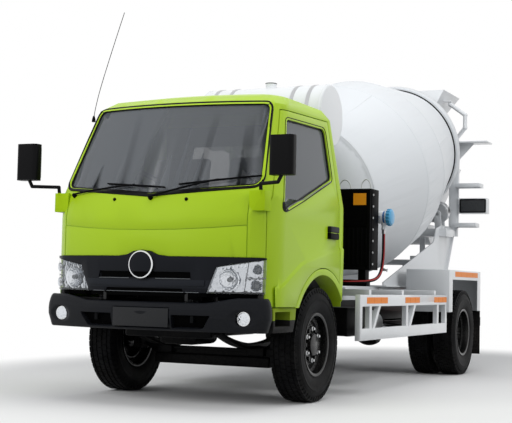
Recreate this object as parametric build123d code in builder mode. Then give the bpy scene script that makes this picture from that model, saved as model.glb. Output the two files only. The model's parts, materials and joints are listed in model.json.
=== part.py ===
"""Concrete mixer truck: a tilting-cab light chassis that carries a rear-discharge mixing drum.

Frame: +X forward, +Y to the vehicle's left, +Z up, ground at z = 0, origin on the ground
under the middle of the truck. Millimetres. Places along the truck are measured from the
front axle by ahead(); places along the drum are measured on its own tilted plane.
"""
import os
from math import asin, cos, degrees, radians, sin, sqrt

from build123d import *

# ---------------------------------------------------------------- chassis sizes
front_axle_x = 2080
wheelbase = 3380
front_track = 1455
rear_track = 1480
twin_spacing = 245
half_width = 972

tyre_radius = 402
tyre_width = 208
rim_flange_radius = 223
rim_wall = 8
disc_thickness = 10
hub_radius = 75
stud_circle_radius = 111
hand_hole_radius = 22

rail_outer_y = 376
rail_flange = 65
rail_web = 7
rail_top = 700
rail_height = 180
rail_front = 960
rail_rear = -4890

cross_member_places = [890, -1010, -1700, -2560, -4100, -4850]
cab_lug_y = 345
cab_lug_width = 22
cab_lug_radius = 14
cab_pin_radius = 7
cab_rest_ahead = -380
cab_rest_beam = 60

kingpin_y = 590
kingpin_radius = 17
axle_z = tyre_radius
beam_drop = 95
beam_half_height = 45
axle_tube_radius = 45
spring_y = 330
spring_width = 70
spring_tip = 28

bead_half = 82
tread_half = 86
front_disc_at = 40
rear_disc_in = 85
rear_inner_disc_at = 85
spindle_radius = 30
brake_drum_radius = 165
stud_count = 6
nut_radius = 17
nut_height = 22
hand_hole_count = 8

bumper_half_width = 847
bumper_front = 1066
bumper_rear = 834
bumper_wall = 20
plate_half_width = 215
plate_low = 520
plate_high = 656
# front view of the left air intake beside the plate
intake_corners = [(234, 524), (436, 524), (488, 608), (234, 608)]
fog_y = 693
fog_z = 594
fog_radius = 46
fog_front = 938
rear_bar_half = 720

guard_front = -500
guard_rear = -2800
guard_outer_y = 955
guard_inner_y = 915
guard_top = 757
guard_low = 415
rail_depth = 88
guard_posts = [-525, -735, -1630, -2515, -2775]
guard_braces = [(-760, -1000), (-1660, -1900)]
outrigger_places = [-830, -1630, -2560]
outrigger_z = 770
subframe_cross_places = [-700, -1900, -2560, -3400, -4400, -4800]

running_gap = 0.3
moving_gap = 6

# ---------------------------------------------------------------- cab sizes
cab_rear = -450
cab_wall = 40
cab_floor_z = 665
cab_front_edge_z = 752
tunnel_half_width = 420
tunnel_top = 1020
tunnel_front = 850
wheelhouse_radius = 490
fender_lip = 50
fender_proud = 14
wheelhouse_inner_y = 400
door_thickness = 50
door_front = 822
door_rear = -316
sill_y = 782
door_bottom = 672
door_top = 1998
shut_gap = 6
glass_thickness = 6
cab_pivot_ahead = 985
cab_pivot_z = 700

# plan sections of the cab, from the floor up. Columns: height, half width, start of the
# front corner, front corner ahead, front corner aside, front middle, rear
cab_sections = [
    (665, 838, 640, 905, 700, 1015, -450),
    (992, 847, 640, 916, 696, 1045, -450),
    (1250, 847, 640, 914, 700, 1036, -450),
    (1390, 846, 618, 858, 767, 985, -450),
    (2044, 735, 380, 530, 690, 636, -425),
    (2115, 680, 250, 425, 610, 500, -390),
    (2160, 560, 60, 230, 470, 290, -250),
]
rear_corner = 60

# ---------------------------------------------------------------- mixer sizes
subframe_height = 120
subframe_top = rail_top + subframe_height
subframe_front = -560
drum_tilt = radians(15.5)
drum_ref_ahead = -1000
drum_ref_z = 1390
drum_wall = 6
drum_radius = 886
head_station = 563
head_radius = 698
hub_station = 300
hub_plate_radius = 190
barrel_station = 1445
barrel_end_station = 2013
barrel_end_radius = 871
ring_station = 3235
ring_width = 110
ring_radius = 682
mouth_station = 3700
mouth_radius = 553
roller_radius = 110
roller_width = 90
roller_angle = 33

roller_pin_radius = 18
gearbox_radius = 165

tank_ahead = -920
tank_z = 2165
tank_radius = 248
tank_half_length = 535
tank_post_y = 290

cooler_front = -750
cooler_depth = 180
cooler_inner_y = 450
cooler_outer_y = 935
cooler_low_z = 946
cooler_top_z = 1566
fin_count = 13
fin_width = 12
fin_proud = 14
meter_ahead = -1030
meter_y = 975
meter_z = 1362
meter_radius = 66
meter_pipe_in = 60
meter_cap = 50
hose_radius = 13
hose_bend = 60
hose_z = 906
hose_inner_y = 335

gusset_y = 450
gusset_thickness = 12
column_ahead = -4700
column_y = 430
column_width = 90
hoop_radius = 22
hoop_top_z = 2850

chute_ahead = -5010
chute_rim_z = 1520
chute_radius = 184
chute_wall = 5
chute_head_y = 150
chute_length = 1080
trunnion_y = 100
trunnion_z = 1400
trunnion_radius = 12
swivel_radius = 32
socket_low = 1010
socket_top = 1124
swivel_beam_z = 1130
swivel_beam_depth = 40

mirror_ahead = 990
mirror_y = 967
mirror_width = 166
mirror_depth = 90
mirror_low_z = 1505
mirror_height = 252
bracket_ahead = 880
bracket_y = 755
bracket_low_z = 1290
arm_z = 1462
arm_radius = 12

# columns: half width, low edge, high edge
grille_slots = [(355, 843, 889), (300, 740, 778)]
grille_bar = (436, 786, 823)
bar_proud = 20
badge_z = 931
badge_radius = 86
badge_front = 1072
lamp_rear = 830
lamp_depth = 28
grip_ahead = -165
grip_z = 1197
grip_length = 115
grip_height = 80
grip_proud = 22


def ahead(distance):
    """Place along X of a point this far ahead of the front axle."""
    return front_axle_x + distance


rear_axle_x = ahead(-wheelbase)
drum_axis_dir = Vector(-cos(drum_tilt), 0, sin(drum_tilt))
drum_up_dir = Vector(sin(drum_tilt), 0, cos(drum_tilt))
drum_origin = Vector(ahead(drum_ref_ahead), 0, drum_ref_z)
drum_plane = Plane(origin=drum_origin, x_dir=drum_axis_dir, z_dir=(0, 1, 0))
drum_axis = Axis(drum_origin, drum_axis_dir)


def drum_point(station, radius=0.0, angle=0.0):
    """Point at a station along the drum, at a radius, turned about the axis from the top."""
    side = Vector(0, 1, 0) * (radius * sin(radians(angle)))
    up = drum_up_dir * (radius * cos(radians(angle)))
    return drum_origin + drum_axis_dir * station + up + side


roller_reach = ring_radius + roller_radius
roller_place_y = roller_reach * sin(radians(roller_angle))
roller_place_down = roller_reach * cos(radians(roller_angle))


def save(piece, name):
    """Label a finished piece and write its STEP file."""
    piece.label = name
    export_step(piece, f"parts/{name}.step")


def block(x_low, x_high, y_low, y_high, z_low, z_high, mode=Mode.ADD):
    """Add or cut an upright block between two corners in the current part."""
    centre = ((x_low + x_high) / 2, (y_low + y_high) / 2, (z_low + z_high) / 2)
    with Locations(centre):
        Box(x_high - x_low, y_high - y_low, z_high - z_low, mode=mode)


def rod(start, end, radius, mode=Mode.ADD):
    """Add or cut a round bar between two points in the current part."""
    start = Vector(*start)
    end = Vector(*end)
    with Locations(Plane(origin=start, z_dir=end - start).location):
        Cylinder(radius, (end - start).length, align=(Align.CENTER, Align.CENTER, Align.MIN),
                 mode=mode)


def side_prism(points, y_low, y_high, mode=Mode.ADD):
    """Add or cut a prism drawn in side view from (x, z) points, between two y places."""
    with BuildSketch(Plane(origin=(0, y_high, 0), x_dir=(1, 0, 0), z_dir=(0, -1, 0))) as face:
        with BuildLine():
            Polyline(*points, close=True)
        make_face()
    extrude(face.sketch, amount=y_high - y_low, mode=mode)


# ================================================================ chassis
def chassis_frame():
    """Two channel rails with cross members, cab pivot lugs and the rear cab rest."""
    rail_bottom = rail_top - rail_height
    with BuildPart() as frame:
        for side in (1, -1):
            low, high = sorted((side * (rail_outer_y - rail_flange), side * rail_outer_y))
            block(ahead(rail_rear), ahead(rail_front), low, high, rail_bottom, rail_top)
            inner = side * (rail_outer_y - rail_flange - 1)
            web = side * (rail_outer_y - rail_web)
            low, high = sorted((inner, web))
            block(ahead(rail_rear) - 1, ahead(rail_front) + 1, low, high,
                  rail_bottom + rail_web, rail_top - rail_web, mode=Mode.SUBTRACT)
        for place in cross_member_places:
            block(ahead(place) - 40, ahead(place) + 40, -rail_outer_y + rail_web,
                  rail_outer_y - rail_web, rail_bottom + 90, rail_top - 30)
        for side in (1, -1):
            low, high = sorted((side * cab_lug_y, side * (cab_lug_y - cab_lug_width)))
            block(ahead(rail_front) - 60, ahead(cab_pivot_ahead), low, high,
                  rail_bottom + 40, cab_pivot_z)
            rod((ahead(cab_pivot_ahead), low, cab_pivot_z),
                (ahead(cab_pivot_ahead), high, cab_pivot_z), cab_lug_radius)
            rod((ahead(cab_pivot_ahead), low - 1, cab_pivot_z),
                (ahead(cab_pivot_ahead), high + 1, cab_pivot_z), cab_pin_radius + running_gap,
                mode=Mode.SUBTRACT)
        # arch behind the engine on which the back of the cab rests
        for side in (1, -1):
            low, high = sorted((side * (rail_outer_y - 60), side * rail_outer_y))
            block(ahead(cab_rest_ahead) - 30, ahead(cab_rest_ahead) + 30, low, high,
                  rail_top, tunnel_top - cab_rest_beam)
        block(ahead(cab_rest_ahead) - 30, ahead(cab_rest_ahead) + 30, -rail_outer_y,
              rail_outer_y, tunnel_top - cab_rest_beam, tunnel_top - running_gap)
    return frame.part


def engine():
    """Engine with its gearbox and propeller shaft, as plain blocks at their real places."""
    with BuildPart() as block_part:
        block(ahead(-330), ahead(640), -235, 235, 470, 960)
        block(ahead(-330) - 620, ahead(-330), -150, 150, 450, 690)
        rod((ahead(-949), 0, 560), (ahead(-wheelbase) + 172, 0, 450), 38)
        for side in (1, -1):
            low, high = sorted((side * 230, side * (rail_outer_y - rail_web - running_gap)))
            block(ahead(330), ahead(410), low, high, 590, 640)
    return block_part.part


def front_axle():
    """Dropped beam between the kingpins, with a bored boss at each end."""
    with BuildPart() as axle:
        beam_z = axle_z - beam_drop
        block(ahead(-38), ahead(38), -430, 430, beam_z - beam_half_height,
              beam_z + beam_half_height)
        block(ahead(-39), ahead(-12), -429, 429, beam_z - 25, beam_z + 25, mode=Mode.SUBTRACT)
        block(ahead(12), ahead(39), -429, 429, beam_z - 25, beam_z + 25, mode=Mode.SUBTRACT)
        for side in (1, -1):
            arm = [(side * 415, beam_z - 45), (side * 415, beam_z + 45),
                   (side * 540, axle_z + 45), (side * kingpin_y, axle_z + 45),
                   (side * kingpin_y, axle_z - 45), (side * 555, axle_z - 45)]
            with BuildSketch(Plane(origin=(ahead(-32), 0, 0), x_dir=(0, 1, 0), z_dir=(1, 0, 0))):
                with BuildLine():
                    Polyline(*arm, close=True)
                make_face()
            extrude(amount=64)
            centre = (ahead(0), side * kingpin_y)
            rod((*centre, axle_z - 45), (*centre, axle_z + 45), 38)
            rod((*centre, axle_z - 50), (*centre, axle_z + 50), kingpin_radius + running_gap,
                mode=Mode.SUBTRACT)
    return axle.part


def rear_axle():
    """Banjo housing with its tubes out to the hubs."""
    tube_end = rear_track / 2 - 60
    spindle_end = (rear_track + twin_spacing) / 2 - rear_disc_in + 8
    with BuildPart() as axle:
        rod((rear_axle_x, -tube_end, axle_z), (rear_axle_x, tube_end, axle_z), axle_tube_radius)
        with Locations((rear_axle_x, 0, axle_z)):
            Sphere(165)
        block(rear_axle_x - 172, rear_axle_x + 172, 95, 180, axle_z - 175, axle_z + 175,
              mode=Mode.SUBTRACT)
        block(rear_axle_x - 172, rear_axle_x + 172, -180, -95, axle_z - 175, axle_z + 175,
              mode=Mode.SUBTRACT)
        rod((rear_axle_x, -tube_end, axle_z), (rear_axle_x, tube_end, axle_z), axle_tube_radius)
        rod((rear_axle_x, -spindle_end, axle_z), (rear_axle_x, spindle_end, axle_z),
            spindle_radius)
        rod((rear_axle_x + 100, 0, axle_z + 10), (rear_axle_x + 149, 0, axle_z + 40), 70)
    return axle.part


def leaf_springs():
    """Four leaf springs, each a bowed stack with its shackle hangers under a rail."""
    front_seat = axle_z - beam_drop + beam_half_height + running_gap
    rear_seat = axle_z + axle_tube_radius + running_gap
    # columns: middle ahead, half length, eye height, seat on the axle, stack thickness
    table = [(0, 560, 480, front_seat, 42), (-wheelbase, 640, 505, rear_seat, 50)]
    with BuildPart() as springs:
        for middle, half_length, eye_z, seat_z, thick in table:
            middle_z = seat_z + thick
            for side in (1, -1):
                with BuildSketch(Plane(origin=(0, side * spring_y + spring_width / 2, 0),
                                       x_dir=(1, 0, 0), z_dir=(0, -1, 0))):
                    with BuildLine():
                        start = (ahead(middle) - half_length, eye_z)
                        end = (ahead(middle) + half_length, eye_z)
                        low_start = (start[0] + 30, eye_z - spring_tip)
                        low_end = (end[0] - 30, eye_z - spring_tip)
                        ThreePointArc(start, (ahead(middle), middle_z), end)
                        Line(end, low_end)
                        ThreePointArc(low_end, (ahead(middle), seat_z), low_start)
                        Line(low_start, start)
                    make_face()
                extrude(amount=spring_width)
                for place in (start[0], end[0]):
                    block(place - 25, place + 25, side * spring_y - spring_width / 2,
                          side * spring_y + spring_width / 2, eye_z - spring_tip / 2,
                          rail_top - rail_height - running_gap)
    return springs.part


# ---------------------------------------------------------------- wheels
def wheel_plane(axle_x):
    """Half-section plane of a wheel: across the truck, and up from the wheel centre."""
    return Plane(origin=(axle_x, 0, axle_z), x_dir=(0, 1, 0), z_dir=(1, 0, 0))


def tyre(axle_x, middles):
    """Tyres about one axle line, each a half section revolved about its own middle."""
    bead = rim_flange_radius - 12
    shoulder = tyre_radius - 22
    half = tyre_width / 2
    with BuildPart() as rubber:
        for middle in middles:
            with BuildSketch(wheel_plane(axle_x)):
                with BuildLine():
                    Line((middle - bead_half + 8, bead), (middle - bead_half + 5, bead + 16))
                    ThreePointArc((middle - bead_half + 5, bead + 16), (middle - half, 305),
                                  (middle - tread_half - 14, shoulder))
                    ThreePointArc((middle - tread_half - 14, shoulder),
                                  (middle - tread_half - 9, tyre_radius - 6),
                                  (middle - tread_half, tyre_radius))
                    Line((middle - tread_half, tyre_radius), (middle + tread_half, tyre_radius))
                    ThreePointArc((middle + tread_half, tyre_radius),
                                  (middle + tread_half + 9, tyre_radius - 6),
                                  (middle + tread_half + 14, shoulder))
                    ThreePointArc((middle + tread_half + 14, shoulder), (middle + half, 305),
                                  (middle + bead_half - 5, bead + 16))
                    Polyline((middle + bead_half - 5, bead + 16), (middle + bead_half - 8, bead),
                             (middle - bead_half + 8, bead))
                make_face()
            revolve(axis=Axis((axle_x, 0, axle_z), (0, 1, 0)))
    return rubber.part


def rim(axle_x, middle, disc_at, side):
    """Pressed rim with its disc, added to the current part. disc_at is measured outwards."""
    bead = rim_flange_radius - 12 - running_gap
    well = bead - 22
    with BuildSketch(wheel_plane(axle_x)) as barrel:
        with BuildLine():
            Polyline((middle - bead_half - 10, rim_flange_radius),
                     (middle - bead_half - 2, rim_flange_radius),
                     (middle - bead_half, bead), (middle - 30, bead), (middle - 22, well),
                     (middle + 22, well), (middle + 30, bead), (middle + bead_half, bead),
                     (middle + bead_half + 2, rim_flange_radius),
                     (middle + bead_half + 10, rim_flange_radius),
                     (middle + bead_half + 6, bead - rim_wall), (middle + 34, bead - rim_wall),
                     (middle + 26, well - rim_wall), (middle - 26, well - rim_wall),
                     (middle - 34, bead - rim_wall), (middle - bead_half - 6, bead - rim_wall),
                     close=True)
        make_face()
    revolve(barrel.sketch, axis=Axis((axle_x, 0, axle_z), (0, 1, 0)))
    face = middle + side * disc_at
    with BuildSketch(wheel_plane(axle_x)) as disc:
        with BuildLine():
            Polyline((face, 0), (face, stud_circle_radius + 34),
                     (middle + side * 24, well - rim_wall + 3),
                     (middle + side * 12, well - rim_wall + 3),
                     (face - side * disc_thickness, stud_circle_radius + 38),
                     (face - side * disc_thickness, 0), close=True)
        make_face()
    revolve(disc.sketch, axis=Axis((axle_x, 0, axle_z), (0, 1, 0)))
    hole_plane = Plane(origin=(axle_x, face + side * 40, axle_z), x_dir=(1, 0, 0),
                       z_dir=(0, -side, 0))
    with BuildSketch(hole_plane) as holes:
        with PolarLocations(stud_circle_radius + 46, hand_hole_count):
            Circle(hand_hole_radius)
    extrude(holes.sketch, amount=90, mode=Mode.SUBTRACT)


def front_wheel(side):
    """Front wheel: rim, hub, brake drum and studs, turning on the spindle."""
    middle = side * front_track / 2
    axle_x = ahead(0)
    face = middle + side * front_disc_at
    with BuildPart() as wheel:
        rim(axle_x, middle, front_disc_at, side)
        rod((axle_x, face - side * 70, axle_z), (axle_x, face + side * 34, axle_z), hub_radius)
        rod((axle_x, middle - side * 40, axle_z), (axle_x, face - side * 5, axle_z),
            brake_drum_radius)
        rod((axle_x, middle - side * 41, axle_z), (axle_x, face - side * 18, axle_z),
            brake_drum_radius - 14, mode=Mode.SUBTRACT)
        rod((axle_x, face - side * 70, axle_z), (axle_x, face - side * 5, axle_z), hub_radius)
        rod((axle_x, face - side * 71, axle_z), (axle_x, face + side * 14, axle_z),
            spindle_radius + running_gap, mode=Mode.SUBTRACT)
        stud_ring(axle_x, face, side)
    return wheel.part


def stud_ring(axle_x, face, side):
    """Wheel nuts standing on a disc's face, added to the current part."""
    nut_plane = Plane(origin=(axle_x, face - side, axle_z), x_dir=(1, 0, 0), z_dir=(0, side, 0))
    with BuildSketch(nut_plane) as nuts:
        with PolarLocations(stud_circle_radius, stud_count):
            RegularPolygon(nut_radius, 6)
    extrude(nuts.sketch, amount=nut_height)


def rear_wheel(side):
    """Twin rear wheel: two rims back to back, hub and brake drum, as one turning piece."""
    outer = side * (rear_track + twin_spacing) / 2
    inner = side * (rear_track - twin_spacing) / 2
    face = outer - side * rear_disc_in
    with BuildPart() as wheel:
        rim(rear_axle_x, outer, -rear_disc_in, side)
        rim(rear_axle_x, inner, rear_inner_disc_at, side)
        rod((rear_axle_x, inner, axle_z), (rear_axle_x, face - side * 2, axle_z),
            brake_drum_radius)
        rod((rear_axle_x, inner - side, axle_z), (rear_axle_x, face - side * 16, axle_z),
            brake_drum_radius - 14, mode=Mode.SUBTRACT)
        rod((rear_axle_x, face - side * 20, axle_z), (rear_axle_x, face + side * 70, axle_z),
            hub_radius)
        rod((rear_axle_x, inner, axle_z), (rear_axle_x, face + side * 14, axle_z),
            spindle_radius + running_gap, mode=Mode.SUBTRACT)
        stud_ring(rear_axle_x, face, side)
    return wheel.part


def knuckle(side):
    """Steering knuckle: fork about the axle boss, kingpin, spindle and steering arm."""
    middle = side * front_track / 2
    face = middle + side * front_disc_at
    with BuildPart() as part:
        rod((ahead(0), side * kingpin_y, axle_z - 78), (ahead(0), side * kingpin_y, axle_z + 78),
            kingpin_radius)
        for low, high in ((-78, -51), (51, 78)):
            rod((ahead(0), side * kingpin_y, axle_z + low),
                (ahead(0), side * kingpin_y, axle_z + high), 34)
            y_low, y_high = sorted((side * kingpin_y, side * (kingpin_y + 62)))
            block(ahead(-30), ahead(30), y_low, y_high, axle_z + low, axle_z + high)
        y_low, y_high = sorted((side * (kingpin_y + 46), side * (kingpin_y + 62)))
        block(ahead(-42), ahead(42), y_low, y_high, axle_z - 78, axle_z + 78)
        rod((ahead(0), side * (kingpin_y + 50), axle_z), (ahead(0), face + side * 8, axle_z),
            spindle_radius)
        y_low, y_high = sorted((side * (kingpin_y - 15), side * (kingpin_y + 12)))
        block(ahead(-190), ahead(-20), y_low, y_high, axle_z - 78, axle_z - 60)
    return part.part


def tie_rod():
    """Track rod between the steering arms, held to the beam by its drag link bracket."""
    with BuildPart() as link:
        rod((ahead(-175), -kingpin_y + 60, axle_z - 95), (ahead(-175), kingpin_y - 60, axle_z - 95),
            15)
    return link.part


# ================================================================ cab
def cab_face(section, inset, height):
    """One plan section of the cab, a set distance inside the outer skin, at a height."""
    _, half, start, corner_x, corner_y, middle_x, rear = section
    half -= inset
    corner_y -= inset * 0.75
    side_start = ahead(start)
    corner = ahead(corner_x - inset)
    middle = ahead(middle_x - inset)
    back = ahead(rear + inset)
    turn = rear_corner - min(inset, rear_corner - 15)
    with BuildSketch(Plane.XY.offset(height)) as face:
        with BuildLine():
            Line((back + turn, half), (side_start, half))
            TangentArc((side_start, half), (corner, corner_y), tangent=(1, 0))
            ThreePointArc((corner, corner_y), (middle, 0), (corner, -corner_y))
            TangentArc((side_start, -half), (corner, -corner_y), tangent=(1, 0))
            Line((side_start, -half), (back + turn, -half))
            TangentArc((back + turn, -half), (back, -half + turn), tangent=(-1, 0))
            Line((back, -half + turn), (back, half - turn))
            TangentArc((back + turn, half), (back, half - turn), tangent=(-1, 0))
        make_face()
    return face.sketch


def cab_volume(inset):
    """Closed cab volume at a distance inside the outer skin, one ruled loft per band."""
    last = len(cab_sections) - 1
    with BuildPart() as volume:
        for index in range(last):
            low = cab_sections[index]
            high = cab_sections[index + 1]
            low_z = low[0] + (inset if index == 0 else 0)
            high_z = high[0] - (inset if index == last - 1 else 0)
            loft([cab_face(low, inset, low_z), cab_face(high, inset, high_z)], ruled=True)
    return volume.part


door_outline = [(door_front, door_bottom), (door_front, 1300), (498, door_top),
                (door_rear, door_top + 24)]
window_outline = [(700, 1292), (452, 1940), (-235, 1957), (-235, 1588)]
windscreen_outline = [(-742, 1464), (0, 1402), (742, 1464), (668, 2038), (-668, 2038)]
rear_window_outline = [(-470, 1500), (470, 1500), (440, 1880), (-440, 1880)]


def door_prism(side, margin, depth_from, mode=Mode.ADD):
    """Prism of the door's side view, grown by a margin, out through the cab's side."""
    low, high = sorted((side * depth_from, side * 1000))
    plane = Plane(origin=(0, high, 0), x_dir=(1, 0, 0), z_dir=(0, -1, 0))
    lip = wheelhouse_radius + fender_lip - margin
    foot = sqrt(lip**2 - (door_bottom - margin - axle_z) ** 2)
    back = sqrt(lip**2 - (-door_rear + margin) ** 2)
    top = lip * 0.99
    with BuildSketch(plane) as face:
        with BuildLine():
            Polyline((ahead(foot), door_bottom - margin),
                     (ahead(door_front + margin), door_bottom - margin),
                     (ahead(door_front + margin), 1300 + margin),
                     (ahead(498 + margin), door_top + margin),
                     (ahead(door_rear - margin), door_top + 24 + margin),
                     (ahead(door_rear - margin), axle_z + back))
            side_x = -sqrt(lip**2 - top**2)
            ThreePointArc((ahead(door_rear - margin), axle_z + back),
                          (ahead(-side_x), axle_z + top), (ahead(foot), door_bottom - margin))
        make_face()
    extrude(face.sketch, amount=high - low, mode=mode)


def window_prism(side, margin, mode=Mode.ADD):
    """Prism of the side window, shrunk by a margin, out through the cab's side."""
    low, high = sorted((side * 500, side * 1000))
    with BuildSketch(Plane(origin=(0, high, 0), x_dir=(1, 0, 0), z_dir=(0, -1, 0))) as opening:
        with BuildLine():
            Polyline(*[(ahead(x), z) for x, z in window_outline], close=True)
        make_face()
        fillet(opening.vertices(), 45)
        if margin:
            offset(amount=-margin, mode=Mode.REPLACE)
    extrude(opening.sketch, amount=high - low, mode=mode)


def front_prism(outline, x_low, x_high, radius, margin=0.0, mode=Mode.ADD):
    """Prism of a shape drawn in front view from (y, z) points, between two x places."""
    with BuildSketch(Plane(origin=(x_low, 0, 0), x_dir=(0, 1, 0), z_dir=(1, 0, 0))) as shape:
        with BuildLine():
            Polyline(*outline, close=True)
        make_face()
        if radius:
            fillet(shape.vertices(), radius)
        if margin:
            offset(amount=-margin, mode=Mode.REPLACE)
    extrude(shape.sketch, amount=x_high - x_low, mode=mode)


def under_cab_space(grow, mode):
    """Wheelhouses and engine tunnel below the cab, grown by a distance."""
    for side in (1, -1):
        low, high = sorted((side * (wheelhouse_inner_y - grow), side * 1000))
        rod((ahead(0), low, axle_z), (ahead(0), high, axle_z), wheelhouse_radius + grow, mode=mode)
    block(ahead(cab_rear) - 10, ahead(tunnel_front) + grow, -tunnel_half_width - grow,
          tunnel_half_width + grow, cab_floor_z - 20, tunnel_top + grow, mode=mode)


# right half of the grille with its brow over the headlamp, from the foot up to the middle
brow_outline = [(447, 752), (514, 923), (704, 958), (801, 973), (801, 988), (190, 988),
                (118, 997), (66, 1020), (0, 1028)]
grille_outline = brow_outline + [(-y, z) for y, z in reversed(brow_outline[:-1])]


def lamp_outline(side):
    """Front view of one headlamp, from its inner lower corner round to the side."""
    return [(side * y, z) for y, z in ((447, 752), (514, 923), (704, 958), (872, 984),
                                       (872, 752))]


# seams pressed in the front panel, in front view
seam_half_width = 692
seam_sag = [(-692, 1197), (-460, 1177), (-230, 1165), (0, 1161), (230, 1165), (460, 1177),
            (692, 1197)]
seam_width = 6
# top edge of the fender's bulge on the cab's side, from the front backwards
fender_line = [(800, 783), (718, 818), (560, 905), (395, 988), (257, 1033), (41, 1082),
               (-385, 1131)]


def fender_bulge(side, proud, skin_face):
    """Swelling of the cab's side over the wheel, with a sloping ledge along its top."""
    faces = []
    for aside, drop, front in ((832, 0, 0), (832 + 2 * fender_proud, 44, 24)):
        edge = [(ahead(x - front * (x == 800)), z - drop) for x, z in fender_line]
        plane = Plane(origin=(0, side * aside, 0), x_dir=(1, 0, 0), z_dir=(0, -1, 0))
        with BuildSketch(plane) as outline:
            with BuildLine():
                Polyline((ahead(800 - front), 640), *edge, (ahead(-385), 640), close=True)
            make_face()
        faces.append(outline.sketch)
    with BuildPart() as bulge:
        loft(faces, ruled=True)
        add(proud, mode=Mode.INTERSECT)
        add(skin_face, mode=Mode.SUBTRACT)
        block(ahead(-1000), ahead(1000), -1000, 1000, 600, cab_floor_z, mode=Mode.SUBTRACT)
    return bulge.part


def panel_seams():
    """Solid of the seams in the front panel: one sagging across and one down each side."""
    with BuildPart() as seams:
        low = [(y, z - seam_width) for y, z in seam_sag]
        front_prism(low + list(reversed(seam_sag)), ahead(700), ahead(1200), 0)
        for side in (1, -1):
            near, far = side * seam_half_width, side * (seam_half_width + seam_width)
            front_prism([(near, 990), (far, 990), (far, 1400), (near, 1400)], ahead(700),
                        ahead(1200), 0)
    return seams.part


def cab_shell(outer, inner, proud, recess, bulges, seams):
    """Cab with its floor, pillars, roof and wheelhouses, its doors and windows cut."""
    with BuildPart() as fittings:
        front_prism(grille_outline, ahead(lamp_rear - 1), ahead(1200), 0)
        for side in (1, -1):
            front_prism(lamp_outline(side), ahead(lamp_rear - 1), ahead(1200), 0)
    with BuildPart() as cavity:
        add(inner)
        under_cab_space(cab_wall - 5, Mode.SUBTRACT)
    with BuildPart() as doorways:
        for side in (1, -1):
            door_prism(side, shut_gap, 560)
            low, high = sorted((side * 500, side * sill_y))
            block(ahead(400), ahead(900), low, high, 600, cab_floor_z + cab_wall + 6,
                  mode=Mode.SUBTRACT)
    with BuildPart() as shell:
        add(outer)
        add(bulges)
        add(cavity.part, mode=Mode.SUBTRACT)
        under_cab_space(0, Mode.SUBTRACT)
        block(ahead(tunnel_front - 10), ahead(1100), -900, 900, 600, cab_front_edge_z,
              mode=Mode.SUBTRACT)
        add(doorways.part, mode=Mode.SUBTRACT)
        front_prism(windscreen_outline, ahead(430), ahead(1100), 50, mode=Mode.SUBTRACT)
        front_prism(rear_window_outline, ahead(cab_rear) - 20, ahead(cab_rear) + 80, 40,
                    mode=Mode.SUBTRACT)
        for side in (1, -1):
            low, high = sorted((side * (cab_lug_y - cab_lug_width - 3),
                                side * (cab_lug_y - 2 * cab_lug_width - 3)))
            block(ahead(cab_pivot_ahead) - 16, ahead(cab_pivot_ahead) + 16, low, high,
                  cab_pivot_z, cab_front_edge_z + 20)
            rod((ahead(cab_pivot_ahead), low, cab_pivot_z),
                (ahead(cab_pivot_ahead), high, cab_pivot_z), cab_lug_radius)
            pin_end = side * (cab_lug_y + 6)
            rod((ahead(cab_pivot_ahead), side * (cab_lug_y - cab_lug_width - 5), cab_pivot_z),
                (ahead(cab_pivot_ahead), pin_end, cab_pivot_z), cab_pin_radius)
        add(skin_slab(proud, recess, fittings.part), mode=Mode.SUBTRACT)
        add(seams, mode=Mode.SUBTRACT)
    return shell.part


def skin_slab(near, far, cut):
    """Slab of the cab's skin between two depths, kept only inside a prism."""
    with BuildPart() as slab:
        add(near)
        add(far, mode=Mode.SUBTRACT)
        add(cut, mode=Mode.INTERSECT)
    return slab.part


def door(side, outer, inner, bulge):
    """One door: a slab of the cab's side with its window cut and a grip on its skin."""
    with BuildPart() as leaf:
        door_prism(side, 0, 600)
        window_prism(side, 0, mode=Mode.SUBTRACT)
        low, high = sorted((side * 500, side * (sill_y + 8)))
        block(ahead(400), ahead(900), low, high, 600, cab_floor_z + door_thickness + 1,
              mode=Mode.SUBTRACT)
    with BuildPart() as slab:
        add(outer)
        add(bulge)
        add(inner, mode=Mode.SUBTRACT)
        add(leaf.part, mode=Mode.INTERSECT)
        low, high = sorted((side * (847 - 8), side * (847 + grip_proud)))
        block(ahead(grip_ahead) - grip_length / 2, ahead(grip_ahead) + grip_length / 2,
              low, high, grip_z - grip_height / 2, grip_z + grip_height / 2)
    return slab.part


def door_glass(side, near, far):
    """Side window pane, seated in the door's opening."""
    with BuildPart() as cut:
        window_prism(side, running_gap)
    return skin_slab(near, far, cut.part)


def windscreen(near, far):
    """Windscreen and rear window panes."""
    with BuildPart() as cut:
        front_prism(windscreen_outline, ahead(430), ahead(1100), 50, running_gap)
        front_prism(rear_window_outline, ahead(cab_rear) - 20, ahead(cab_rear) + 80, 40,
                    running_gap)
    return skin_slab(near, far, cut.part)


def grille(proud, back, slot_floor, bar_face):
    """Dark grille with its brow over the lamps, two slots, cross bar and plain badge."""
    with BuildPart() as cut:
        front_prism(grille_outline, ahead(lamp_rear), ahead(1200), 0, 2)
    with BuildPart() as slots:
        for y_half, z_low, z_high in grille_slots:
            front_prism([(-y_half, z_low), (y_half, z_low), (y_half - 14, z_high),
                         (14 - y_half, z_high)], ahead(700), ahead(1200), 0)
    y_half, z_low, z_high = grille_bar
    with BuildPart() as bar:
        front_prism([(-y_half, z_low + 12), (0, z_low - 2), (y_half, z_low + 12),
                     (y_half + 6, z_high + 12), (0, z_high), (-y_half - 6, z_high + 12)],
                    ahead(700), ahead(1200), 0)
    with BuildPart() as panel:
        add(skin_slab(proud, back, cut.part))
        add(skin_slab(proud, slot_floor, slots.part), mode=Mode.SUBTRACT)
        add(skin_slab(bar_face, slot_floor, bar.part))
        rod((ahead(1020), 0, badge_z), (ahead(badge_front), 0, badge_z), badge_radius)
    return panel.part


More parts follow.
